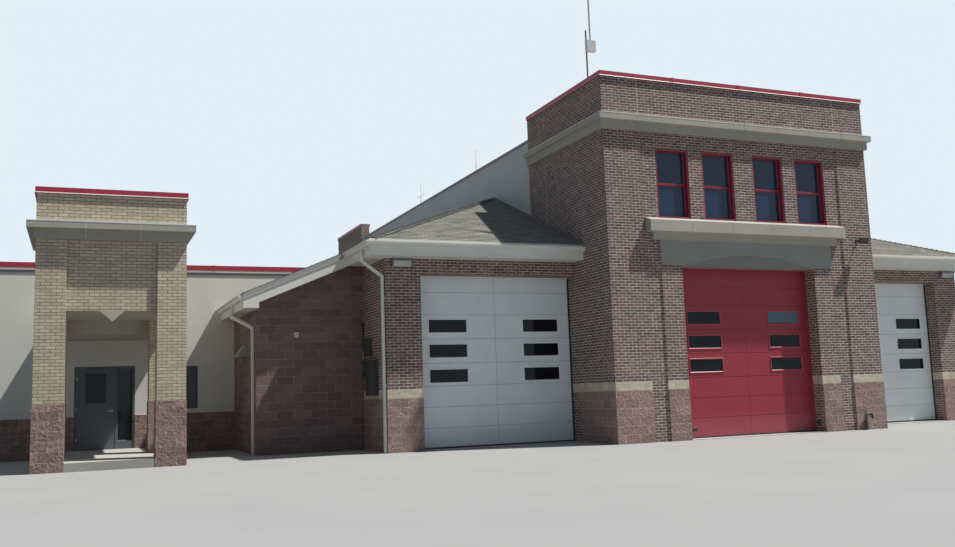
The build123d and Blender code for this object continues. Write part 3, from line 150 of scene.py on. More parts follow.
world = bpy.data.worlds.new("sky")
bpy.context.scene.world = world
world.use_nodes = True
sky = world.node_tree
sky.nodes.clear()
rays = add_node(sky, "ShaderNodeLightPath")
seen = math_node(sky, "MAXIMUM", rays.outputs["Is Camera Ray"], rays.outputs["Is Glossy Ray"])
seen = math_node(sky, "MAXIMUM", seen, rays.outputs["Is Transmission Ray"])
fill = add_node(sky, "ShaderNodeBackground", {"Color": rgb(0.52, 0.76, 1.0), "Strength": 0.18})
backdrop = add_node(sky, "ShaderNodeBackground", {"Color": rgb(0.76, 0.86, 0.94), "Strength": 1.0})
both = add_node(sky, "ShaderNodeMixShader", {0: seen, 1: fill.outputs[0], 2: backdrop.outputs[0]})
add_node(sky, "ShaderNodeOutputWorld", {"Surface": both.outputs[0]})

lamp = bpy.data.objects.new("key_light", bpy.data.lights.new("key_light", "SUN"))
bpy.context.scene.collection.objects.link(lamp)
lamp.data.energy = 5.3
lamp.data.color = (1.0, 0.97, 0.92)
lamp.data.angle = math.radians(1.2)
lamp.rotation_euler = (math.radians(30.1), 0.0, math.radians(68.8))

ground, tree, shader = new_material("pale_ground", Roughness=0.9)
place = object_place(tree)
mottle = noise(tree, place, 0.35, 5.0)
pale = ramp(tree, mottle, [(0.3, gray(0.31)), (0.7, gray(0.34))])
watched = add_node(tree, "ShaderNodeLightPath").outputs["Is Camera Ray"]
before_doors = (2.0, -5.0, 0.0)
away = add_node(tree, "ShaderNodeVectorMath", {0: place, 1: before_doors}, operation="DISTANCE")
given_back = remap(tree, away.outputs["Value"], 9.0, 20.0, 0.34, 0.15)
tree.links.new(blend(tree, watched, given_back, pale), shader.inputs["Base Color"])


def sheet_mesh(name, points, wrap=False, loop=False, caps=False, outward=None, uvs=None):
    """Surface through grids of points: neighbours in both directions make its four-sided faces.

    points has the shape (rows, columns, 3), or (pieces, rows, columns, 3) for several grids in one
    mesh. wrap joins the last column to the first, loop the last row to the first, and caps closes
    the first and the last row. Faces turn away from the middle of their grid, or along outward.
    """
    grids = points if points.ndim == 4 else points[None]
    pieces, rows, columns = grids.shape[:3]
    index = np.arange(pieces * rows * columns).reshape(pieces, rows, columns)
    ends = np.concatenate([index[:, :1, ::-1], index[:, -1:]], axis=1)
    if wrap:
        index = np.concatenate([index, index[:, :, :1]], axis=2)
    if loop:
        index = np.concatenate([index, index[:, :1]], axis=1)
    near, far = index[:, :-1], index[:, 1:]
    faces = np.stack([near[..., :-1], near[..., 1:], far[..., 1:], far[..., :-1]], axis=-1)
    corners = grids.reshape(-1, 3)[faces]
    normal = np.cross(corners[..., 2, :] - corners[..., 0, :], corners[..., 3, :] - corners[..., 1, :])
    if outward is None:
        arm = corners.mean(axis=-2) - grids.mean(axis=(1, 2))[:, None, None, :]
    else:
        arm = np.asarray(outward, dtype=float)
    turned = (normal * arm).sum(axis=(1, 2, 3)) < 0
    faces[turned] = faces[turned][..., ::-1]
    ends[turned] = ends[turned][..., ::-1]
    polygons = faces.reshape(-1, 4).tolist() + (ends.reshape(-1, columns).tolist() if caps else [])
    mesh = bpy.data.meshes.new(name)
    mesh.from_pydata(grids.reshape(-1, 3).tolist(), [], polygons)
    if uvs is not None:
        layer = mesh.uv_layers.new(name="run")
        layer.data.foreach_set("uv", uvs.reshape(-1, 2)[faces.reshape(-1)].astype(np.float32).ravel())
    mesh.update()
    thing = bpy.data.objects.new(name, mesh)
    bpy.context.scene.collection.objects.link(thing)
    return thing


grid = np.linspace(-150.0, 150.0, 13)
gx, gy = np.meshgrid(grid, grid, indexing="ij")
floor = sheet_mesh("floor", np.stack([gx, gy, np.full_like(gx, -0.002)], axis=-1), outward=(0, 0, 1))
floor.data.materials.append(ground)


# Split-face block at the foot of the walls
# Coloured concrete block, split so that its face is rough, laid in 203 mm courses with a pale
# joint struck back from the face. The lean-to is the same block with a smoother face.
brick_length, brick_course = 0.2032, 0.067733
block_length, block_course = 0.4064, 0.2032


def new_group(name, inputs, outputs):
    """Shader node group with named sockets; an input is (name, first value)."""
    group = bpy.data.node_groups.new(name, "ShaderNodeTree")
    for label, value in inputs:
        socket = group.interface.new_socket(label, in_out="INPUT", socket_type="NodeSocketFloat")
        socket.default_value = value
    for label in outputs:
        group.interface.new_socket(label, in_out="OUTPUT", socket_type="NodeSocketFloat")
    return group, group.nodes.new("NodeGroupInput"), group.nodes.new("NodeGroupOutput")


def use_group(tree, group, inputs=None):
    """Places a node group and fills or links its inputs."""
    return add_node(tree, "ShaderNodeGroup", inputs, node_tree=group)


def axes(tree, vector):
    """Outputs x, y and z of a vector."""
    return add_node(tree, "ShaderNodeSeparateXYZ", {0: vector}).outputs


def within(tree, value, low, high):
    """One where the value is between low and high, and nought elsewhere."""
    above = math_node(tree, "GREATER_THAN", value, low)
    return times(tree, above, math_node(tree, "LESS_THAN", value, high))


def speckled(tree, share, color, grain, spread, depth):
    """Colour made darker and lighter by depth where the grain leaves 0.5 by the spread."""
    tones = ramp(tree, grain, [(0.5 - spread, gray(0.5 - depth)), (0.5 + spread, gray(0.5 + depth))])
    return blend(tree, share, color, tones, "OVERLAY")


def set_surface(tree, shader, color, height):
    """Gives a shader its colour, and a height in metres through a Bump node."""
    tree.links.new(color, shader.inputs["Base Color"])
    bump = add_node(tree, "ShaderNodeBump", {"Height": height, "Strength": 1.0, "Distance": 1.0})
    tree.links.new(bump.outputs["Normal"], shader.inputs["Normal"])


def finish(names, material):
    """Gives built parts a material."""
    for name in names:
        mesh = nodes[name].data
        mesh.materials.clear()
        mesh.materials.append(material)


def bond_pattern(tree, place, length, height, joint, between, soft):
    """Running bond: its Color is a number per unit from 0 to 1, and its Fac the joints."""
    sizes = {"Brick Width": length, "Row Height": height, "Mortar Size": joint, "Mortar Smooth": soft}
    tints = {"Color1": gray(0.0), "Color2": gray(1.0), "Mortar": gray(between)}
    return add_node(tree, "ShaderNodeTexBrick", {"Vector": place, "Scale": 1.0, **sizes, **tints})


# Running bond on walls that face any way: the bricks run along x, or along y where a wall faces
# sideways, and rise with z. Its outputs are a number per unit, the joints and the height.
unit_sizes = [("Length", brick_length), ("Height", brick_course), ("Joint", 0.005)]
courses, group_in, group_out = new_group("coursed_units", unit_sizes, ["Tint", "Joint", "Level"])
place = object_place(courses)
facing = add_node(courses, "ShaderNodeNewGeometry").outputs["True Normal"]
px, py, pz = axes(courses, place)
turn = axes(courses, facing)
sideways = math_node(courses, "GREATER_THAN", math_node(courses, "ABSOLUTE", turn[0]), 0.6)
flat = math_node(courses, "GREATER_THAN", math_node(courses, "ABSOLUTE", turn[2]), 0.8)
along = add_node(courses, "ShaderNodeMix", {0: sideways, 2: px, 3: py}, data_type="FLOAT")
rise = add_node(courses, "ShaderNodeMix", {0: flat, 2: pz, 3: py}, data_type="FLOAT")
wall_point = add_node(courses, "ShaderNodeCombineXYZ", {0: along.outputs[0], 1: rise.outputs[0], 2: 0.0})
length, height, joint = (group_in.outputs[label] for label, _ in unit_sizes)
bond = bond_pattern(courses, wall_point.outputs[0], length, height, joint, 0.5, 0.12)
courses.links.new(bond.outputs["Color"], group_out.inputs["Tint"])
courses.links.new(bond.outputs["Fac"], group_out.inputs["Joint"])
courses.links.new(pz, group_out.inputs["Level"])

# Marks of rain and dust: upright streaks, soft patches, and splashes over the lowest 0.4 m.
weather, group_in, group_out = new_group("weather_marks", [("Streaks", 0.5), ("Patches", 0.5)], ["Mark"])
place = object_place(weather)
stretched = add_node(weather, "ShaderNodeMapping", {"Vector": place, "Scale": (3.0, 3.0, 0.25)}).outputs[0]
streaks = times(weather, noise(weather, stretched, 1.2, 4.0), group_in.outputs["Streaks"])
patches = times(weather, noise(weather, place, 0.9, 4.0), group_in.outputs["Patches"])
splash = remap(weather, axes(weather, place)[2], 0.0, 0.4, 0.2, 0.0)
marks = math_node(weather, "ADD", math_node(weather, "ADD", streaks, patches), splash, True)
weather.links.new(marks, group_out.inputs["Mark"])


def masonry(name, unit, stops, mortar, joint_depth, grain, speckle=0.5, band=None):
    """Coursed masonry: a colour per unit from the stops, grain on the units, and mortar joints.

    unit is (length, height, half joint). grain is (grains per metre, height in metres) of the rough
    face, and speckle is the share of its light and dark in the colour.
    band is (lowest, highest, stops, inner, outer): a height range with its own colours, left out
    between the inner and the outer distance from the middle of the front.
    """
    material, tree, shader = new_material(name, Roughness=0.88)
    place = object_place(tree)
    laid = use_group(tree, courses, {"Length": unit[0], "Height": unit[1], "Joint": unit[2]})
    tint = laid.outputs["Tint"]
    color = ramp(tree, tint, stops)
    joint = laid.outputs["Joint"]
    if band:
        lowest, highest, band_stops, inner, outer = band
        across = math_node(tree, "ABSOLUTE", axes(tree, place)[0])
        kept = math_node(tree, "SUBTRACT", 1.0, within(tree, across, inner, outer))
        share = times(tree, within(tree, laid.outputs["Level"], lowest, highest), kept)
        color = blend(tree, share, color, ramp(tree, tint, band_stops))
    speck = noise(tree, place, grain[0], 4.0, 0.65)
    color = speckled(tree, speckle, color, speck, 0.2, 0.16)
    worn = ramp(tree, noise(tree, place, 7.0, 4.0), [(0.38, gray(0.0)), (0.62, gray(1.0))])
    bright_mortar = rgb(*[min(0.9, c * 1.18) for c in mortar])
    mortar_color = blend(tree, worn, scaled(mortar, 0.64), bright_mortar)
    color = blend(tree, joint, color, mortar_color)
    mark = use_group(tree, weather, {"Streaks": 0.35, "Patches": 0.35}).outputs[0]
    color = blend(tree, times(tree, mark, 0.3), color, rgb(0.06, 0.05, 0.045))
    face = times(tree, speck, grain[1])
    struck_back = times(tree, joint, joint_depth)
    set_surface(tree, shader, color, math_node(tree, "SUBTRACT", face, struck_back))
    return material


block_unit = (block_length, block_course, 0.006)
block_stops = [
    (0.0, rgb(0.29, 0.190, 0.168)),
    (0.5, rgb(0.35, 0.232, 0.205)),
    (1.0, rgb(0.42, 0.285, 0.250)),
]
block_mortar = (0.58, 0.52, 0.46)
# Its speckle shares the grain of its rough face, darker in the hollows and lighter on the highs: partly the
# block's own mottle, partly painted shade of the rough face.
split_block = masonry("split_block", block_unit, block_stops, block_mortar, 0.008, (15.0, 0.036), 0.95)
finish(["tower_base_blocks", "side_bay_base_blocks", "office_wainscot", "entrance_bases"], split_block)
smooth_stops = [
    (0.0, rgb(0.185, 0.120, 0.115)),
    (0.5, rgb(0.225, 0.150, 0.140)),
    (1.0, rgb(0.265, 0.180, 0.170)),
]
smooth_mortar = (0.44, 0.36, 0.33)
smooth_block = masonry("smooth_block", block_unit, smooth_stops, smooth_mortar, 0.006, (60.0, 0.004), 0.6)
finish(["lean_to_walls"], smooth_block)

# Brick walls
# The towers and the low bays are a blend of brown, plum and grey clay brick in running bond,
# 67.7 mm a course, in a pale mortar. Three courses of tan brick run over the block at the foot.
brick_stops = [
    (0.0, rgb(0.116, 0.083, 0.084)),
    (0.18, rgb(0.142, 0.096, 0.090)),
    (0.42, rgb(0.205, 0.114, 0.094)),
    (0.64, rgb(0.245, 0.138, 0.116)),
    (0.82, rgb(0.175, 0.114, 0.102)),
    (1.0, rgb(0.295, 0.180, 0.150)),
]
tan_stops = [
    (0.0, rgb(0.59, 0.505, 0.37)),
    (0.5, rgb(0.67, 0.580, 0.43)),
    (1.0, rgb(0.75, 0.660, 0.50)),
]
brown_brick = masonry(
    "brown_brick",
    (brick_length, brick_course, 0.0066),
    brick_stops,
    (0.76, 0.71, 0.66),
    0.0045,
    (150.0, 0.0022),
    band=(6 * block_course, 7 * block_course, tan_stops, 2.628, 3.0635),
)
finish(["tower_piers", "tower_upper_walls", "tower_side_walls"], brown_brick)
finish(["side_bay_piers", "side_bay_headers", "side_bay_outer_walls"], brown_brick)


# Sealant in the joints of the walls
# Pale sealant is tooled into the joints that let the brick move, on the parapets and the side
# walls, and white sealant between the lengths of the entrance cornice. A strip of block closes
# the lean-to walls under their roof.
station_depth = 25.2
entrance_x, entrance_y = -14.894, 3.165


def cast_finish(name, light, dark, grain, depth, streaks, roughness=0.85, laps=None):
    """Mineral or rolled surface: two close colours in soft patches, fine grain, and rain marks.

    laps is the distance between lapped seams and half the width of a seam.
    """
    material, tree, shader = new_material(name, Roughness=roughness)
    place = object_place(tree)
    patches = noise(tree, place, 0.8, 5.0, 0.6)
    color = ramp(tree, patches, [(0.32, rgb(*dark)), (0.68, rgb(*light))])
    fine = noise(tree, place, grain, 3.0, 0.7)
    color = speckled(tree, 0.35, color, fine, 0.25, 0.12)
    mark = use_group(tree, weather, {"Streaks": streaks, "Patches": 0.2}).outputs[0]
    color = blend(tree, times(tree, mark, 0.3), color, scaled(dark, 0.4))
    height = times(tree, fine, depth)
    if laps:
        lapped = use_group(tree, courses, {"Length": 60.0, "Height": laps[0], "Joint": laps[1]})
        seam = lapped.outputs["Joint"]
        color = blend(tree, times(tree, seam, 0.5), color, scaled(dark, 0.55))
        height = math_node(tree, "ADD", height, times(tree, seam, 0.002))
    set_surface(tree, shader, color, height)
    return material


def bevelled_blocks(low, high, bevel):
    """Blocks between low and high corners, each a stack of four eight-cornered rings.

    A ring is the rectangle of the block with its corners cut off at the bevel. The first and the
    last ring are drawn in by the bevel, and the two between them have the full width.
    """
    low, high = np.asarray(low, dtype=float), np.asarray(high, dtype=float)
    half = (high - low)[:, None, None, :] / 2
    center = (high + low)[:, None, None, :] / 2
    drawn_in = np.array([bevel, 0.0, 0.0, bevel])[:, None]
    lift = np.array([[-1, 0], [-1, 1], [1, -1], [1, 0]])
    sign_x = np.array([-1, 1, 1, 1, 1, -1, -1, -1])
    sign_y = np.array([-1, -1, -1, 1, 1, 1, 1, -1])
    cut_x = np.array([1, 1, 0, 0, 1, 1, 0, 0])
    cut_y = 1 - cut_x
    x = center[..., 0] + sign_x * (half[..., 0] - drawn_in - bevel * cut_x)
    y = center[..., 1] + sign_y * (half[..., 1] - drawn_in - bevel * cut_y)
    z = center[..., 2] + lift[:, :1] * half[..., 2] + lift[:, 1:] * bevel
    return np.stack([x, y, z + 0 * x], axis=-1)


def both_ends(points):
    """Front pieces and their images about the middle of the station's depth."""
    image = points.copy()
    image[..., 1] = station_depth - image[..., 1]
    return np.concatenate([points, image])


def both_sides(points):
    """Pieces on the right and their images on the left."""
    image = points.copy()
    image[..., 0] = -image[..., 0]
    return np.concatenate([points, image])


def add_piece(name, points, material, slot, body="station", **shape):
    """An added piece: a sheet_mesh with its material and its body; slot is not used."""
    piece = sheet_mesh(name, points, **shape)
    piece.data.materials.append(material)
    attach(piece, body)


def add_blocks(name, points, material, slot):
    """An added piece of closed blocks, each through its rows of points and capped at both ends."""
    add_piece(name, points, material, slot, wrap=True, caps=True)


sealant = cast_finish("sealant", (0.54, 0.52, 0.48), (0.47, 0.45, 0.42), 120.0, 0.0004, 0.3, 0.6)
joint_low = [(3.0555, -0.0018, 7.832), (4.056, 3.0615, 1.424), (4.056, 3.0615, 7.832)]
joint_high = [(3.0725, 0.008, 8.776), (4.0658, 3.0785, 7.466), (4.0658, 3.0785, 8.776)]
joints = bevelled_blocks(joint_low, joint_high, 0.0015)
add_blocks("wall_sealant", both_ends(both_sides(joints)), sealant, "precast")
white_sealant = cast_finish("white_sealant", (0.88, 0.87, 0.82), (0.78, 0.77, 0.73), 120.0, 0.0004, 0.1, 0.6)
seam_bands = [(-1.6395, 4.891, 5.029), (-1.5045, 4.691, 4.889)]
seams = [(x, *band) for x in (0.533, -0.533) for band in seam_bands]
seam_low = [(x - 0.0049, y, bottom) for x, y, bottom, _ in seams]
seam_high = [(x + 0.0049, y + 0.005, top) for x, y, _, top in seams]
x, y, z = np.moveaxis(bevelled_blocks(seam_low, seam_high, 0.0006), -1, 0)
four_turns = [(x, y, z), (-y, x, z), (-x, -y, z), (y, -x, z)]
all_sides = np.concatenate([np.stack(turned, axis=-1) for turned in four_turns])
add_blocks("cornice_sealant", all_sides + (entrance_x, entrance_y, 0.0), white_sealant, "precast")
closure = bevelled_blocks([(-9.530, 3.655, 4.440)], [(-8.990, 3.700, 4.665)], 0.002)
add_blocks("lean_to_closure", both_ends(closure), smooth_block, "split_block")

# Precast cornices and canopies
# Buff concrete cast in lengths with a fine sanded face, bedded on the brick. The panel over the
# middle door is a greyer casting with an arch sunk in its face, its sunk field darker as painted shade.
precast = cast_finish("precast", (0.50, 0.475, 0.42), (0.43, 0.41, 0.36), 240.0, 0.0007, 0.5)
finish(["tower_cornices", "door_canopies", "entrance_cornice"], precast)


def recolor(material, low, high, color):
    """Gives what lies between two corners its own colour; a far corner leaves its side open."""
    tree = material.node_tree
    shader = tree.nodes["Principled BSDF"]
    place = object_place(tree)
    share = 1.0
    for value, least, most in zip(axes(tree, place), low, high):
        share = times(tree, share, within(tree, value, least, most))
    worn = blend(tree, noise(tree, place, 2.0), scaled(color, 0.88), rgb(*color))
    before = shader.inputs["Base Color"].links[0].from_socket
    tree.links.new(blend(tree, share, before, worn), shader.inputs["Base Color"])


lintel_panel = cast_finish("lintel_panel", (0.36, 0.355, 0.34), (0.31, 0.305, 0.295), 300.0, 0.0005, 0.3)
# Painted shade: the arch's sunk field, behind the panel's face, is coloured darker.
recolor(lintel_panel, (-1.9, -0.0195, 4.1), (1.9, 25.2195, 4.6), (0.275, 0.275, 0.245))
finish(["door_lintels"], lintel_panel)


# Flashing over the ledges
# Bent sheet metal laid over the top of each ledge and turned up the wall, with a narrow lip over
# the front edge that catches the light.
def mitred_run(path, section, level, closed=False):
    """A section carried along a plan line, mitred at its corners.

    section has (outwards, up) points; outwards is to the right of the way the line runs. At a
    corner the offset is the sum of both sides' normals over one plus their product.
    """
    path, section = np.asarray(path, dtype=float), np.asarray(section, dtype=float)
    step = np.roll(path, -1, axis=0) - path
    step /= np.linalg.norm(step, axis=1, keepdims=True)
    after = np.stack([step[:, 1], -step[:, 0]], axis=1)
    before = np.roll(after, 1, axis=0)
    if not closed:
        after[-1], before[0] = before[-1], after[0]
    mitre = (after + before) / (1 + (after * before).sum(axis=1, keepdims=True))
    plan = path[:, None, :] + mitre[:, None, :] * section[None, :, :1]
    height = np.broadcast_to(level + section[:, 1], plan.shape[:2])
    return np.concatenate([plan, height[..., None]], axis=-1)


def painted(name, color, roughness=0.42, wave=0.0006, dirt=0.25, metallic=0.0, other=None, axis=0):
    """Painted sheet: one colour with faint chalking, dust where rain leaves it, and slight waves.

    other is (distance, colour) of the parts that lie past that distance from the origin, measured
    along the axis.
    """
    material, tree, shader = new_material(name, Metallic=metallic)
    place = object_place(tree)
    chalk = noise(tree, place, 2.2, 4.0)
    base = blend(tree, chalk, scaled(color, 0.90), scaled(color, 1.08))
    if other:
        across = math_node(tree, "ABSOLUTE", axes(tree, place)[axis])
        past = math_node(tree, "GREATER_THAN", across, other[0])
        base = blend(tree, past, base, blend(tree, chalk, scaled(other[1], 0.9), rgb(*other[1])))
    mark = use_group(tree, weather, {"Streaks": 0.5, "Patches": 0.2}).outputs[0]
    soiled = blend(tree, 0.6, base, rgb(0.10, 0.09, 0.08))
    base = blend(tree, times(tree, mark, dirt), base, soiled)
    spread = remap(tree, chalk, 0.0, 1.0, roughness - 0.08, roughness + 0.12)
    tree.links.new(spread, shader.inputs["Roughness"])
    set_surface(tree, shader, base, times(tree, noise(tree, place, 5.0, 2.0), wave))
    return material


def add_run(name, path, section, level, material, slot, closed=False):
    """A sheet metal strip along a plan line, closed round or with its ends capped."""
    points = mitred_run(path, section, level, closed)
    add_piece(name, points, material, slot, wrap=True, loop=closed, caps=not closed)


tower_x, tower_back = 4.064, 4.05
front_tower = [(-tower_x, tower_back), (-tower_x, 0.0), (tower_x, 0.0), (tower_x, tower_back)]
rear_tower = [(-x, station_depth - y) for x, y in front_tower]
entrance_half = 1.465
corner_signs = [(-1, -1), (1, -1), (1, 1), (-1, 1)]
entrance_walls = [(entrance_x + entrance_half * x, entrance_y + entrance_half * y) for x, y in corner_signs]
pale_flashing = painted("pale_flashing", (0.60, 0.60, 0.56), 0.45, 0.0004, 0.3)


def ledge_flashing(reach):
    """Section over a ledge: up the wall, out over the top, and down over the edge."""
    edge = reach + 0.0035
    return [(0.001, 0.070), (0.004, 0.070), (0.006, 0.005), (edge, 0.0035), (edge, -0.014),
            (edge - 0.003, -0.014), (reach, 0.001), (0.001, 0.001)]


tower_ledge, entrance_ledge = ledge_flashing(0.15), ledge_flashing(0.175)
add_run("front_ledge_flashing", front_tower, tower_ledge, 7.83, pale_flashing, "white_trim")
add_run("rear_ledge_flashing", rear_tower, tower_ledge, 7.83, pale_flashing, "white_trim")
add_run("entrance_ledge_flashing", entrance_walls, entrance_ledge, 5.03, pale_flashing, "white_trim", True)

# Hall and render coat
# The hall behind the towers and the office wing have a sand-finished render coat, light and warm
# grey, trowelled on in broad passes. Flat roofs are a pale sheet lapped every 1.9 m.
render_coat = cast_finish("render_coat", (0.84, 0.83, 0.785), (0.78, 0.77, 0.73), 190.0, 0.0016, 0.15)
office_walls = ["office_front_walls", "office_wall_over_door", "office_back_wall", "office_end_wall"]
finish(office_walls, render_coat)
# The hall coat is coloured darker and bluer than the office coat: painted shade of its shaded side.
hall_coat_with_painted_shade = cast_finish("hall_coat_with_painted_shade", (0.63, 0.655, 0.665), (0.58, 0.605, 0.615), 190.0, 0.0016, 0.15)
finish(["hall_walls"], hall_coat_with_painted_shade)
# The porch ceiling is coloured darker and yellower than the render coat: painted shade, warmed by painted
# light thrown back from the tan brick.
ceiling_coat_with_painted_shade = cast_finish("ceiling_coat_with_painted_shade", (0.54, 0.51, 0.42), (0.48, 0.455, 0.375), 190.0, 0.001, 0.1)
finish(["entrance_ceiling"], ceiling_coat_with_painted_shade)
laps = (1.9, 0.03)
membrane = cast_finish("membrane", (0.45, 0.45, 0.44), (0.37, 0.37, 0.36), 60.0, 0.0006, 0.2, 0.7, laps)
finish(["hall_roof", "office_roof"], membrane)

# Parapet copings
# Parapets are capped with folded steel sheet, painted crimson. Its front drops over the wall and
# ends in a drip edge kicked outwards, coloured pale as a painted highlight, and cover plates lap
# the joints between lengths.
crimson_color = (0.42, 0.026, 0.060)
crimson = painted("crimson_paint", crimson_color, 0.40, 0.0006, 0.12)
finish(["office_copings", "entrance_coping"], crimson)
# Painted shade: the hall copings, below 8.5 m, are coloured dark for crimson sheet in shade; the tower
# copings above stay crimson.
coping_paint_with_painted_shade = painted("coping_paint_with_painted_shade", (0.13, 0.10, 0.11), 0.45, other=(8.5, crimson_color), axis=2)
finish(["roof_copings"], coping_paint_with_painted_shade)
# Painted highlight: the crimson drip edge is coloured pale for the light it catches.
drip_highlight_paint = painted("drip_edge", (0.66, 0.60, 0.58), 0.4, 0.0003, 0.15)
drip_section = [(0.024, 0.004), (0.0315, 0.004), (0.0335, 0.0), (0.045, -0.013), (0.043, -0.016),
                (0.029, -0.003)]
add_run("front_drip_edge", front_tower, drip_section, 8.78, drip_highlight_paint, "crimson_metal")
add_run("rear_drip_edge", rear_tower, drip_section, 8.78, drip_highlight_paint, "crimson_metal")
add_run("entrance_drip_edge", entrance_walls, drip_section, 5.64, drip_highlight_paint, "crimson_metal", True)


def cover_plates(joints, y, level, reach, drop, way=1):
    """Plates folded over the joints of a coping, whose outside is at y.

    reach is how far a plate goes back over the top, and drop how far it hangs down outside. way
    is 1 where the outside is the front and -1 where it is the back.
    """
    section = [(-reach, -0.012), (-reach, 0.026), (0.036, 0.026), (0.036, -drop), (0.0315, -drop),
               (0.0315, 0.0215), (0.0045 - reach, 0.0215), (0.0045 - reach, -0.012)]
    half = way * 0.05
    return np.stack([mitred_run([(x - half, y), (x + half, y)], section, level) for x in joints])


tower_plates = both_ends(cover_plates((-2.03, 0.0, 2.03), 0.0, 8.87, 0.403, 0.088))
office_front_plates = cover_plates((-12.2, -17.6, -20.3), 7.05, 4.91, 0.283, 0.108)
office_back_plates = cover_plates((-12.2, -14.9, -17.6, -20.3), 18.15, 4.91, 0.283, 0.108, -1)
plates = np.concatenate([tower_plates, office_front_plates, office_back_plates])
add_blocks("coping_plates", plates, crimson, "crimson_metal")


# Tower windows
# Fixed windows in deep crimson frames, two panes high, with tinted double glazing held by beads
# that are snapped in round each pane.
def tinted_glass(name, dark, light, ior, mirror, through=0.0):
    """Glass that shows the sky in its surface, with a faint film over its tint."""
    values = {"IOR": ior, "Specular IOR Level": mirror, "Transmission Weight": through}
    material, tree, shader = new_material(name, **values)
    place = object_place(tree)
    film = noise(tree, place, 1.6, 3.0)
    tree.links.new(ramp(tree, film, [(0.3, rgb(*dark)), (0.7, rgb(*light))]), shader.inputs["Base Color"])
    smear = ramp(tree, noise(tree, place, 6.0), [(0.2, gray(0.02)), (0.9, gray(0.08))])
    tree.links.new(smear, shader.inputs["Roughness"])
    return material


window_glass = tinted_glass("window_glass", (0.010, 0.012, 0.018), (0.016, 0.019, 0.027), 1.45, 0.28, 0.15)
# Painted reflection: the high panes of the towers are coloured bluer for the sky they mirror.
recolor(window_glass, (-9, -1, 5.2), (9, 26, 7.4), (0.026, 0.055, 0.125))
finish(["window_glass"], window_glass)


def rims(places, half_width, half_height, profile):
    """Mouldings round rectangles, as across, up and out arrays of (pieces, profile, corners).

    Each corner of a rectangle is carried along the profile, whose points are (outwards in the
    plane, out of the plane).
    """
    places, profile = np.asarray(places, dtype=float), np.asarray(profile, dtype=float)
    side = np.array(corner_signs)
    across = places[:, None, None, 0] + side[:, 0] * (half_width + profile[:, None, 0])
    rising = places[:, None, None, 1] + side[:, 1] * (half_height + profile[:, None, 0])
    out = np.broadcast_to(profile[:, None, 1], across.shape)
    return across, rising, out


def front_rims(places, half_width, half_height, plane, profile):
    """Mouldings on a front at the depth of the plane."""
    across, rising, out = rims(places, half_width, half_height, profile)
    return np.stack([across, plane - out, rising], axis=-1)


def add_rims(name, points, material, slot, body="station"):
    """Closed mouldings that ride on a body."""
    add_piece(name, points, material, slot, body, wrap=True, loop=True)


window_paint = painted("window_paint", (0.27, 0.020, 0.042), 0.4, 0.0003, 0.2)
finish(["tower_window_frames"], window_paint)
bead = [(0.001, -0.001), (0.001, 0.020), (-0.004, 0.022), (-0.016, 0.010), (-0.018, -0.001)]
tower_panes = [(x, z) for x in (-2.139, -0.7785, 0.7785, 2.139) for z in (5.7945, 6.6365)]
tower_beads = front_rims(tower_panes, 0.43, 0.3985, 0.175, bead)
add_rims("tower_window_beads", both_ends(tower_beads), window_paint, "crimson_metal")


# Sectional doors
# Overhead doors of ribbed steel sections hinged together, with three rows of panes held in raised
# frames. The middle doors are deep red and the others off-white; a rubber seal closes each edge.
def door_skin(name, color, dust_color):
    """Painted steel skin with shallow ribs along the section and dust low down."""
    material, tree, shader = new_material(name)
    place = object_place(tree)
    chalk = noise(tree, place, 1.4, 5.0)
    base = blend(tree, chalk, scaled(color, 0.88), scaled(color, 1.10))
    height = axes(tree, place)[2]
    dust = times(tree, remap(tree, height, 0.30, 0.62, 0.30, 0.0), chalk)
    mark = use_group(tree, weather, {"Streaks": 0.5, "Patches": 0.3}).outputs[0]
    soil = math_node(tree, "ADD", times(tree, mark, 0.06), dust)
    base = blend(tree, soil, base, rgb(*dust_color))
    tree.links.new(ramp(tree, chalk, [(0.2, gray(0.48)), (0.8, gray(0.62))]), shader.inputs["Roughness"])
    rib_spacing = 0.049
    rib = math_node(tree, "SINE", times(tree, height, 2 * math.pi / rib_spacing))
    ribs = times(tree, rib, 0.0005)
    grain = times(tree, noise(tree, place, 60.0), 0.0004)
    set_surface(tree, shader, base, math_node(tree, "ADD", ribs, grain))
    return material


# Painted shade: behind the faces, in the grooves between the sections, the doors are coloured darker.
red_skin = door_skin("red_door_paint", (0.315, 0.021, 0.042), (0.50, 0.22, 0.25))
recolor(red_skin, (-9, 0.3745, -1), (9, 24.8255, 9), (0.200, 0.015, 0.026))
# The white skin is tinted blue: painted colour of the cool, sky-lit shade on the doors.
white_skin = door_skin("white_door_paint", (0.85, 0.92, 0.97), (0.50, 0.47, 0.42))
recolor(white_skin, (-9, 2.0945, -1), (9, 23.1055, 9), (0.54, 0.58, 0.61))
finish(["center_doors"], red_skin)
finish(["side_bay_doors"], white_skin)
dark_pane = tinted_glass("dark_pane", (0.007, 0.008, 0.010), (0.014, 0.015, 0.018), 1.33, 0.35)
# Painted reflection: one pane of the front middle door is coloured paler and bluer for the sky it mirrors.
recolor(dark_pane, (0.7, -1, 2.75), (2.0, 1, 3.2), (0.10, 0.165, 0.235))
finish(["bay_door_glass", "entrance_door_glass"], dark_pane)

frame_profile = [(0.022, -0.001), (0.022, 0.010), (0.017, 0.015), (0.003, 0.015), (-0.010, 0.002),
                 (-0.010, -0.014), (0.001, -0.014), (0.001, -0.001)]
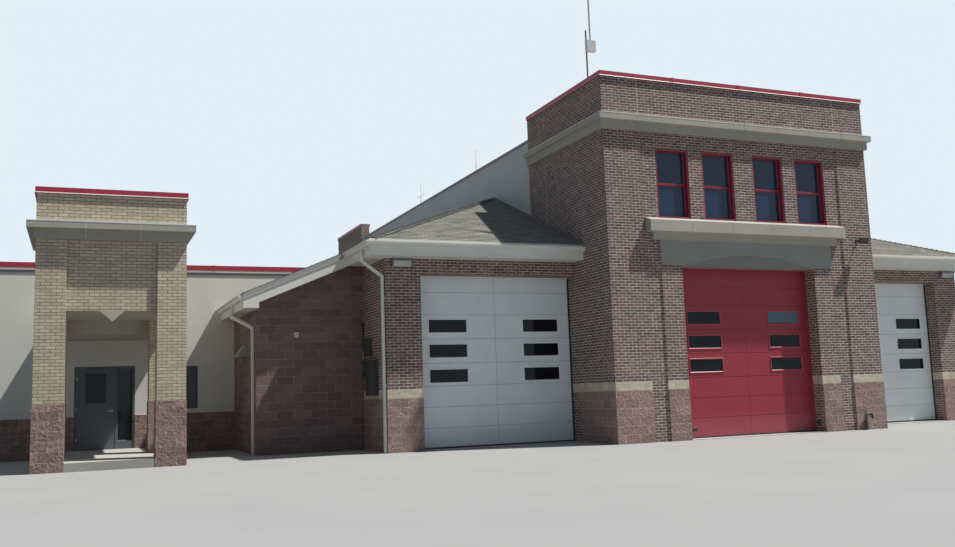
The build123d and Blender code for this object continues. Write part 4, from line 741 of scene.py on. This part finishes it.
# Both frame paints are lighter than their door skins: a painted highlight for the lit edges of the raised
# frames.
red_frame = painted("red_pane_frames", (0.42, 0.050, 0.075), 0.3, 0.0003, 0.1)
white_frame = painted("white_pane_frames", (0.93, 0.95, 0.95), 0.35, 0.0003, 0.05)
red_panes = [(side * 1.235, z) for side in (-1, 1) for z in (1.765, 2.348, 2.945)]
white_panes = [(6.137 + side * 1.235, z) for side in (-1, 1) for z in (1.710, 2.305, 2.900)]
red_rims = front_rims(red_panes, 0.49, 0.16, 0.37, frame_profile)
white_rims = both_sides(front_rims(white_panes, 0.49, 0.16, 2.09, frame_profile))
add_rims("red_pane_frames", both_ends(red_rims), red_frame, "red_door")
add_rims("white_pane_frames", both_ends(white_rims), white_frame, "white_door")


def door_seals(name, x0, x1, head, plane, material, width, kept):
    """Flaps that cover the gap in front of the leaf; kept picks from both jambs and the head."""
    front, back = plane - 0.022, plane - 0.001
    low = [(x0 - 0.001, front, 0.02), (x1 - width, front, 0.02), (x0, front, head - 0.03)]
    high = [(x0 + width, back, head), (x1 + 0.001, back, head), (x1, back, head + 0.001)]
    blocks = bevelled_blocks(low, high, 0.008)[kept]
    if x0 > 0:
        add_blocks(name, both_ends(both_sides(blocks)), material, "white_door")
    else:
        add_blocks(name, both_ends(blocks), material, "red_door")


rubber = painted("rubber", (0.022, 0.022, 0.024), 0.7, 0.0003, 0.3)
door_seals("red_door_seals", -2.0375, 2.0375, 4.165, 0.37, red_skin, 0.045, slice(0, 3))
door_seals("white_door_jamb_seals", 4.070, 8.164, 4.10, 2.09, rubber, 0.044, slice(0, 2))
door_seals("white_door_head_seals", 4.070, 8.164, 4.10, 2.09, white_frame, 0.062, slice(2, 3))
sweep_low = [(-2.03, 0.358, 0.0125), (4.075, 2.078, 0.0125), (-8.16, 2.078, 0.0125)]
sweep_high = [(2.03, 0.3695, 0.050), (8.16, 2.0895, 0.050), (-4.075, 2.0895, 0.050)]
sweeps = bevelled_blocks(sweep_low, sweep_high, 0.004)
add_blocks("door_bottom_seals", both_ends(sweeps), rubber, "lamp_metal")
middle_strip = bevelled_blocks([(-0.0058, 0.3725, 0.06)], [(0.0058, 0.3775, 4.16)], 0.001)
add_blocks("red_door_middle_strip", both_ends(middle_strip), red_skin, "red_door")
sensor_low = [(-2.036, 0.02, 0.195), (1.96, 0.17, 0.195)]
sensor_high = [(-1.865, 0.10, 0.290), (2.036, 0.25, 0.290)]
sensors = bevelled_blocks(sensor_low, sensor_high, 0.012)
add_blocks("door_sensors", both_ends(sensors), rubber, "lamp_metal")


# Shingle roofs
# The low roofs are asphalt shingles in 143 mm courses nailed to boards. Each course laps the one
# below it, and its butt edge stands up. Cut caps fold over the hips in the same way.
pitch_ratio = 5 / 12
pitch_angle = math.atan(pitch_ratio)
eave_x, eave_y, eave_z = 9.656, 1.088, 4.76
roof_back = station_depth - eave_y
exposure = 0.143
course_step = exposure * math.cos(pitch_angle)
butt = 0.010


def course_slope(name, first, last, low_end, high_end, place_point):
    """Lapped courses on one roof plane, as a grid of rows across the slope.

    Each course has its butt edge on and off the deck, and its top edge almost on it. low_end and
    high_end give the ends of a row for its distance up the slope in plan, and place_point turns
    (along, distance, lift) into a point.
    """
    side_steps = 3
    count = int(math.ceil((last - first) / course_step))
    starts = first + course_step * np.arange(count)
    ends = np.minimum(starts + course_step, last)
    rows = np.stack([starts, starts, ends], axis=1).ravel()
    lift = np.tile([0.0, butt, 0.0015], count)
    share = np.linspace(0.0, 1.0, side_steps)
    low, high = low_end(rows), high_end(rows)
    along = low[:, None] + (high - low)[:, None] * share
    distance = np.repeat(rows[:, None], side_steps, axis=1)
    points = place_point(along, distance, lift[:, None])
    sheet = np.stack([along, (distance - first) / math.cos(pitch_angle)], axis=-1)
    add_piece(name, points, shingle, "shingle", outward=(0, 0, 1), uvs=sheet)


def side_point(side):
    """Point on a side slope: distance is measured inwards from the gutter edge."""
    def place_on(along, distance, lift):
        x = side * (eave_x - distance + lift * math.sin(pitch_angle))
        z = eave_z + pitch_ratio * distance + lift * math.cos(pitch_angle)
        return np.stack([x + 0 * along, along, z + 0 * along], axis=-1)
    return place_on


def end_point(side, back):
    """Point on a hipped end: distance is measured from the front or back gutter edge."""
    def place_on(along, distance, lift):
        y = eave_y + distance - lift * math.sin(pitch_angle)
        y = station_depth - y if back else y
        z = eave_z + pitch_ratio * distance + lift * math.cos(pitch_angle)
        return np.stack([side * along, y + 0 * along, z + 0 * along], axis=-1)
    return place_on


shingle_stops = [
    (0.0, rgb(0.150, 0.148, 0.136)),
    (0.5, rgb(0.205, 0.200, 0.182)),
    (1.0, rgb(0.27, 0.262, 0.235)),
]

# Mineral granules on asphalt: a colour per tab, coarse grain, and dark gaps between the tabs. The
# map of each sheet counts metres along and up the slope, so its courses meet the butt edges.
shingle, tree, shader = new_material("shingle", Roughness=0.95)
sheet_place = add_node(tree, "ShaderNodeUVMap", uv_map="run").outputs[0]
tabs = bond_pattern(tree, sheet_place, 0.305, exposure, 0.004, 0.3, 0.1)
place = object_place(tree)
granule = noise(tree, place, 220.0, 2.0, 0.8)
color = ramp(tree, tabs.outputs["Color"], shingle_stops)
color = speckled(tree, 0.5, color, granule, 0.2, 0.2)
clumps = noise(tree, place, 18.0, 3.0, 0.7)
color = speckled(tree, 0.8, color, clumps, 0.15, 0.16)
patch = noise(tree, place, 0.7, 4.0)
color = blend(tree, times(tree, patch, 0.22), color, rgb(0.30, 0.29, 0.25))
color = blend(tree, tabs.outputs["Fac"], color, rgb(0.030, 0.029, 0.027))
grit = times(tree, granule, 0.0015)
gaps = times(tree, tabs.outputs["Fac"], 0.003)
set_surface(tree, shader, color, math_node(tree, "SUBTRACT", grit, gaps))
finish(["right_roof", "left_roof"], painted("roof_deck", (0.20, 0.19, 0.165), 0.85))

hall_x, tower_y = 4.014, 4.07
edge_in = 0.125
lean_to_start, lean_to_stop = 3.165, 7.045
for side, word in ((1, "right"), (-1, "left")):
    course_slope(
        f"{word}_side_shingles",
        edge_in,
        eave_x - hall_x,
        lambda d: eave_y + d,
        lambda d: roof_back - d,
        side_point(side),
    )
    for back, end_word in ((False, "front"), (True, "rear")):
        course_slope(
            f"{word}_{end_word}_shingles",
            edge_in,
            eave_x - hall_x,
            lambda d: np.where(eave_y + d < tower_y, tower_x, hall_x),
            lambda d: np.maximum(eave_x - d, hall_x),
            end_point(side, back),
        )
for start, stop, word in (
    (lean_to_start, lean_to_stop, "front"),
    (station_depth - lean_to_stop, station_depth - lean_to_start, "rear"),
):
    course_slope(
        f"lean_to_{word}_shingles",
        -2.36,
        edge_in,
        lambda d, start=start: np.full_like(d, start),
        lambda d, stop=stop: np.full_like(d, stop),
        side_point(-1),
    )


def hip_caps():
    """Folded caps up a hip: each has its low edge lifted off the two slopes and its top edge on them.

    A point is the hip's foot, moved in by the distance and across by w; it lies below the hip by
    the pitch times w over the root of two.
    """
    count = 54
    start = 0.19 + exposure / math.sqrt(2) * np.arange(count)
    distance = start[:, None, None] + np.array([0.0, 0.0, 0.115])[:, None] + np.zeros(5)
    w = np.array([-0.145, -0.05, 0.0, 0.05, 0.145]) / math.sqrt(2)
    lift = np.array([0.004, 0.034, 0.011])[:, None] - np.array([0.0, 0.0, 0.003, 0.0, 0.0])
    x = eave_x - distance + w
    y = eave_y + distance + w
    z = eave_z + pitch_ratio * (distance - np.abs(w)) + lift
    points = np.stack([x, y, z], axis=-1)
    on_sheet = np.array([0.0, 0.0, 0.95])[:, None] + np.arange(count)[:, None, None] + np.zeros(5)
    sheet = np.stack([0.15 + w + 0 * on_sheet, exposure * on_sheet], axis=-1)
    kept = points[:, -1, 2, 0] > hall_x + 0.06
    return points[kept], sheet[kept]


cap_points, cap_sheet = hip_caps()
all_caps = both_ends(both_sides(cap_points))
cap_sheets = np.concatenate([cap_sheet] * 4)
add_piece("hip_caps", all_caps, shingle, "shingle", outward=(0, 0, 1), uvs=cap_sheets)

# Flashing where the roofs meet the walls
# Bent grey sheet tucked into the brick joints in steps beside the tower, and one long apron along
# the hall at the top of each slope.
zinc = painted("zinc", (0.16, 0.165, 0.17), 0.45, 0.0003, 0.3, 0.3)
brown_metal = painted("brown_metal", (0.085, 0.075, 0.072), 0.5, 0.0003, 0.3)


def step_flashing(x, y0, y1, stepped):
    """Angle up a slope: a foot on the shingles, and a leg that follows the courses or the slope."""
    y = np.arange(y0, y1, brick_length)
    y = np.stack([y, np.minimum(y + brick_length, y1)], axis=1).ravel()
    deck = eave_z + pitch_ratio * (y - eave_y) + 0.012
    top = deck + 0.055
    if stepped:
        courses_up = np.ceil((deck[::2] + pitch_ratio * brick_length) / brick_course)
        top = np.repeat(courses_up * brick_course, 2)
    out = np.array([0.001, 0.004, 0.004, 0.085, 0.085, 0.001])
    height = np.stack([top, top, deck + 0.006, deck + 0.004, deck, deck], axis=1)
    return np.stack([x + np.tile(out, (len(y), 1)), np.tile(y[:, None], (1, 6)), height], axis=-1)


tower_steps = step_flashing(tower_x, 1.24, 4.06, True)
hall_angle = step_flashing(hall_x, 4.08, 6.70, False)
for word, angle in (("tower", tower_steps), ("hall", hall_angle)):
    add_blocks(f"{word}_step_flashing", both_ends(both_sides(angle[None])), brown_metal, "mast_metal")
apron = [(0.001, 0.13), (0.004, 0.13), (0.006, 0.022), (0.11, -0.022), (0.11, -0.026), (0.001, 0.016)]
add_run("right_apron", [(hall_x, 6.82), (hall_x, 18.38)], apron, 7.11, zinc, "mast_metal")
add_run("left_apron", [(-hall_x, 18.38), (-hall_x, 6.82)], apron, 7.11, zinc, "mast_metal")

# Eaves, gutters and rainwater pipes
# Fascias, soffits and rake boards are painted board edged with metal, and the gutters and pipes
# are folded aluminium in the same off-white. Grey metal covers the lean-to's sloping verge, and
# a hanger every 0.9 m ties each gutter to its fascia.
white_paint = painted("white_paint", (0.80, 0.80, 0.755), 0.45, 0.0004, 0.2)
finish(["eaves", "gutters", "rake_boards", "downspouts"], white_paint)
verge_paint = painted("verge_paint", (0.36, 0.37, 0.36), 0.45, 0.0004, 0.2)
verge_x = np.array([[-9.530], [-12.008]])
verge_section = [(0.0, -0.002), (0.006, -0.002), (0.006, -0.122), (0.020, -0.133), (0.018, -0.138),
                 (0.0, -0.128)]
verge_out, verge_rise = np.array(verge_section).T
verge_y = 3.1755 - verge_out + 0 * verge_x
verge_z = eave_z + pitch_ratio * (eave_x + verge_x) + verge_rise
verge = np.stack([verge_x + 0 * verge_y, verge_y, verge_z], axis=-1)
add_blocks("rake_verge_metal", both_ends(verge[None]), verge_paint, "white_trim")
eave_lip = [(-0.122, 0.058), (-0.1185, 0.058), (-0.117, 0.0), (-0.112, -0.010), (-0.114, -0.012),
            (-0.121, -0.002)]
beside_tower = 4.070
eave_paths = {
    "right_eave_metal": [
        (beside_tower, eave_y), (eave_x, eave_y), (eave_x, roof_back), (beside_tower, roof_back)
    ],
    "left_front_eave_metal": [(-eave_x, 3.15), (-eave_x, eave_y), (-beside_tower, eave_y)],
    "left_rear_eave_metal": [(-beside_tower, roof_back), (-eave_x, roof_back), (-eave_x, 22.05)],
}
for name, path in eave_paths.items():
    add_run(name, path, eave_lip, eave_z, white_paint, "white_trim")
front_low = np.array([(x, 1.092, 4.744) for x in np.arange(4.5, 9.4, 0.9)])
side_low = np.array([(9.518, y, 4.744) for y in np.arange(1.9, 12.2, 0.9)])
lean_to_low = np.array([(-12.150, y, 3.700) for y in np.arange(3.6, 6.9, 0.9)])
front_hangers = bevelled_blocks(front_low, front_low + (0.025, 0.134, 0.008), 0.002)
side_hangers = bevelled_blocks(side_low, side_low + (0.134, 0.025, 0.008), 0.002)
lean_to_hangers = bevelled_blocks(lean_to_low, lean_to_low + (0.134, 0.025, 0.008), 0.002)
hangers = np.concatenate([front_hangers, side_hangers, front_hangers * (-1, 1, 1), lean_to_hangers])
add_blocks("gutter_hangers", both_ends(hangers), zinc, "white_trim")

# Office wing trim and windows
# Under its crimson coping the office parapet has a pale strip and a dark grey metal band. Its
# windows are dark frames set back in the render coat, glazed with beads.
gray_trim = painted("gray_trim", (0.23, 0.24, 0.24), 0.5)
recolor(gray_trim, (-99, -99, 4.7395), (99, 99, 9), (0.68, 0.68, 0.68))
finish(["office_parapet_trim"], gray_trim)
dark_paint = painted("dark_paint", (0.035, 0.036, 0.038), 0.4)
finish(["office_window_frames"], dark_paint)
pane_z, half_pane = 1.6875, (0.412, 0.5125)
front_beads = front_rims([(x, pane_z) for x in (-13.056, -18.7, -21.2)], *half_pane, 7.15, bead)
back_places = [(x, pane_z) for x in (-13.056, -15.808, -18.7, -21.2)]
across, rising, out = rims(back_places, *half_pane, bead)
back_beads = np.stack([across, 18.05 + out, rising], axis=-1)
across, rising, out = rims([(y, pane_z) for y in (9.825, 12.6, 15.375)], *half_pane, bead)
end_beads = np.stack([-22.9 - out, across, rising], axis=-1)
office_beads = np.concatenate([front_beads, back_beads, end_beads])
add_rims("office_window_beads", office_beads, dark_paint, "dark_frame")

# Entrance tower
# Four piers of tan brick stand on block, joined by brick walls under a precast cornice, with a
# render-coated ceiling and a trowelled concrete step. The joints are browner than the brick.
tan_unit = (brick_length, brick_course, 0.0062)
tan_brick = masonry("tan_brick", tan_unit, tan_stops, (0.29, 0.235, 0.165), 0.0045, (150.0, 0.0018))
finish(["entrance_piers", "entrance_upper_walls"], tan_brick)
concrete = cast_finish("concrete", (0.50, 0.49, 0.46), (0.40, 0.39, 0.365), 170.0, 0.0006, 0.3)
finish(["porch_slab", "office_floor", "bay_floor"], concrete)

# Entrance door
# A hollow steel door and frame, painted slate grey, with a lite in the leaf and a tall sidelight
# beside it. Screwed stops hold the glass on both.
slate = (0.115, 0.135, 0.150)
slate_paint = painted("slate_paint", slate, 0.4, 0.0003, 0.15)
finish(["door_frame"], slate_paint)
leaf_paint = painted("leaf_paint", slate, 0.4, 0.0003, 0.15)
# The lever, in front of the leaf's face, is pale metal.
recolor(leaf_paint, (-99, 0, 0), (99, 7.055, 9), (0.55, 0.54, 0.52))
finish(["entrance_door"], leaf_paint)
glass_stop = [(0.020, -0.001), (0.020, 0.006), (0.016, 0.010), (0.0, 0.010), (-0.010, 0.004),
              (-0.010, -0.012), (0.001, -0.012), (0.001, -0.001)]
lite = front_rims([(-15.104, 1.727)], 0.254, 0.38, 7.060, glass_stop)
add_rims("lite_stops", lite, slate_paint, "entrance_paint", "entrance_leaf")
sidelight = front_rims([(-14.4055, 1.2995)], 0.1865, 0.9245, 7.115, bead)
add_rims("sidelight_stops", sidelight, slate_paint, "entrance_paint")

# Lamps, mast and small fittings
# Cast and folded metal housings screwed to the walls, a steel tube for the mast with moulded white
# aerials on it, and painted boxes and pipe on the walls.
lamp_paint = painted("lamp_paint", (0.045, 0.043, 0.042), 0.45, other=(5.0, (0.17, 0.18, 0.19)))
recolor(lamp_paint, (-11.3, 3.0, 2.5), (-10.2, 3.9, 3.2), (0.78, 0.76, 0.74))
finish(["wall_lamps"], lamp_paint)
finish(["roof_mast"], painted("mast_paint", (0.16, 0.17, 0.18), 0.4, 0.0002, 0.2, 0.4))
finish(["antennas"], painted("aerial_white", (0.72, 0.73, 0.72), 0.35, 0.0002, 0.15))
fitting_paint = painted("fitting_paint", (0.045, 0.045, 0.047), 0.45, other=(11.5, (0.32, 0.34, 0.38)))
recolor(fitting_paint, (-9.3, 3.3, 2.20), (-8.85, 3.9, 2.40), (0.26, 0.26, 0.26))
finish(["service_fittings"], fitting_paint)


def ribbed_lens(x, width, line):
    """Glass over the line of (y, z) points, ribbed across: each point moves out by a small cosine."""
    share = np.linspace(-0.5, 0.5, 61)
    line = np.asarray(line)
    rib = 0.0012 * np.cos(share * 2 * math.pi * 15)
    y = line[:, :1] - 0.0022 - rib
    z = line[:, 1:] - 0.0022 - rib
    return np.stack([x + width * share + 0 * y, y, z], axis=-1)


lens_line = [(1.655, 4.2575), (1.600, 4.340), (1.600, 4.385)]
lenses = np.stack([ribbed_lens(x, 0.42, lens_line) for x in (8.63, -8.63)])
rear_lenses = lenses.copy()
rear_lenses[..., 1] = station_depth - rear_lenses[..., 1]
for word, points, way in (("front", lenses, (0, -1, -0.5)), ("rear", rear_lenses, (0, 1, -0.5))):
    lens_glass = tinted_glass(f"{word}_lamp_lens", (0.34, 0.36, 0.37), (0.50, 0.52, 0.52), 1.5, 0.6)
    add_piece(f"{word}_lamp_lenses", points, lens_glass, "dark_glass", outward=way)

bpy.context.view_layer.update()
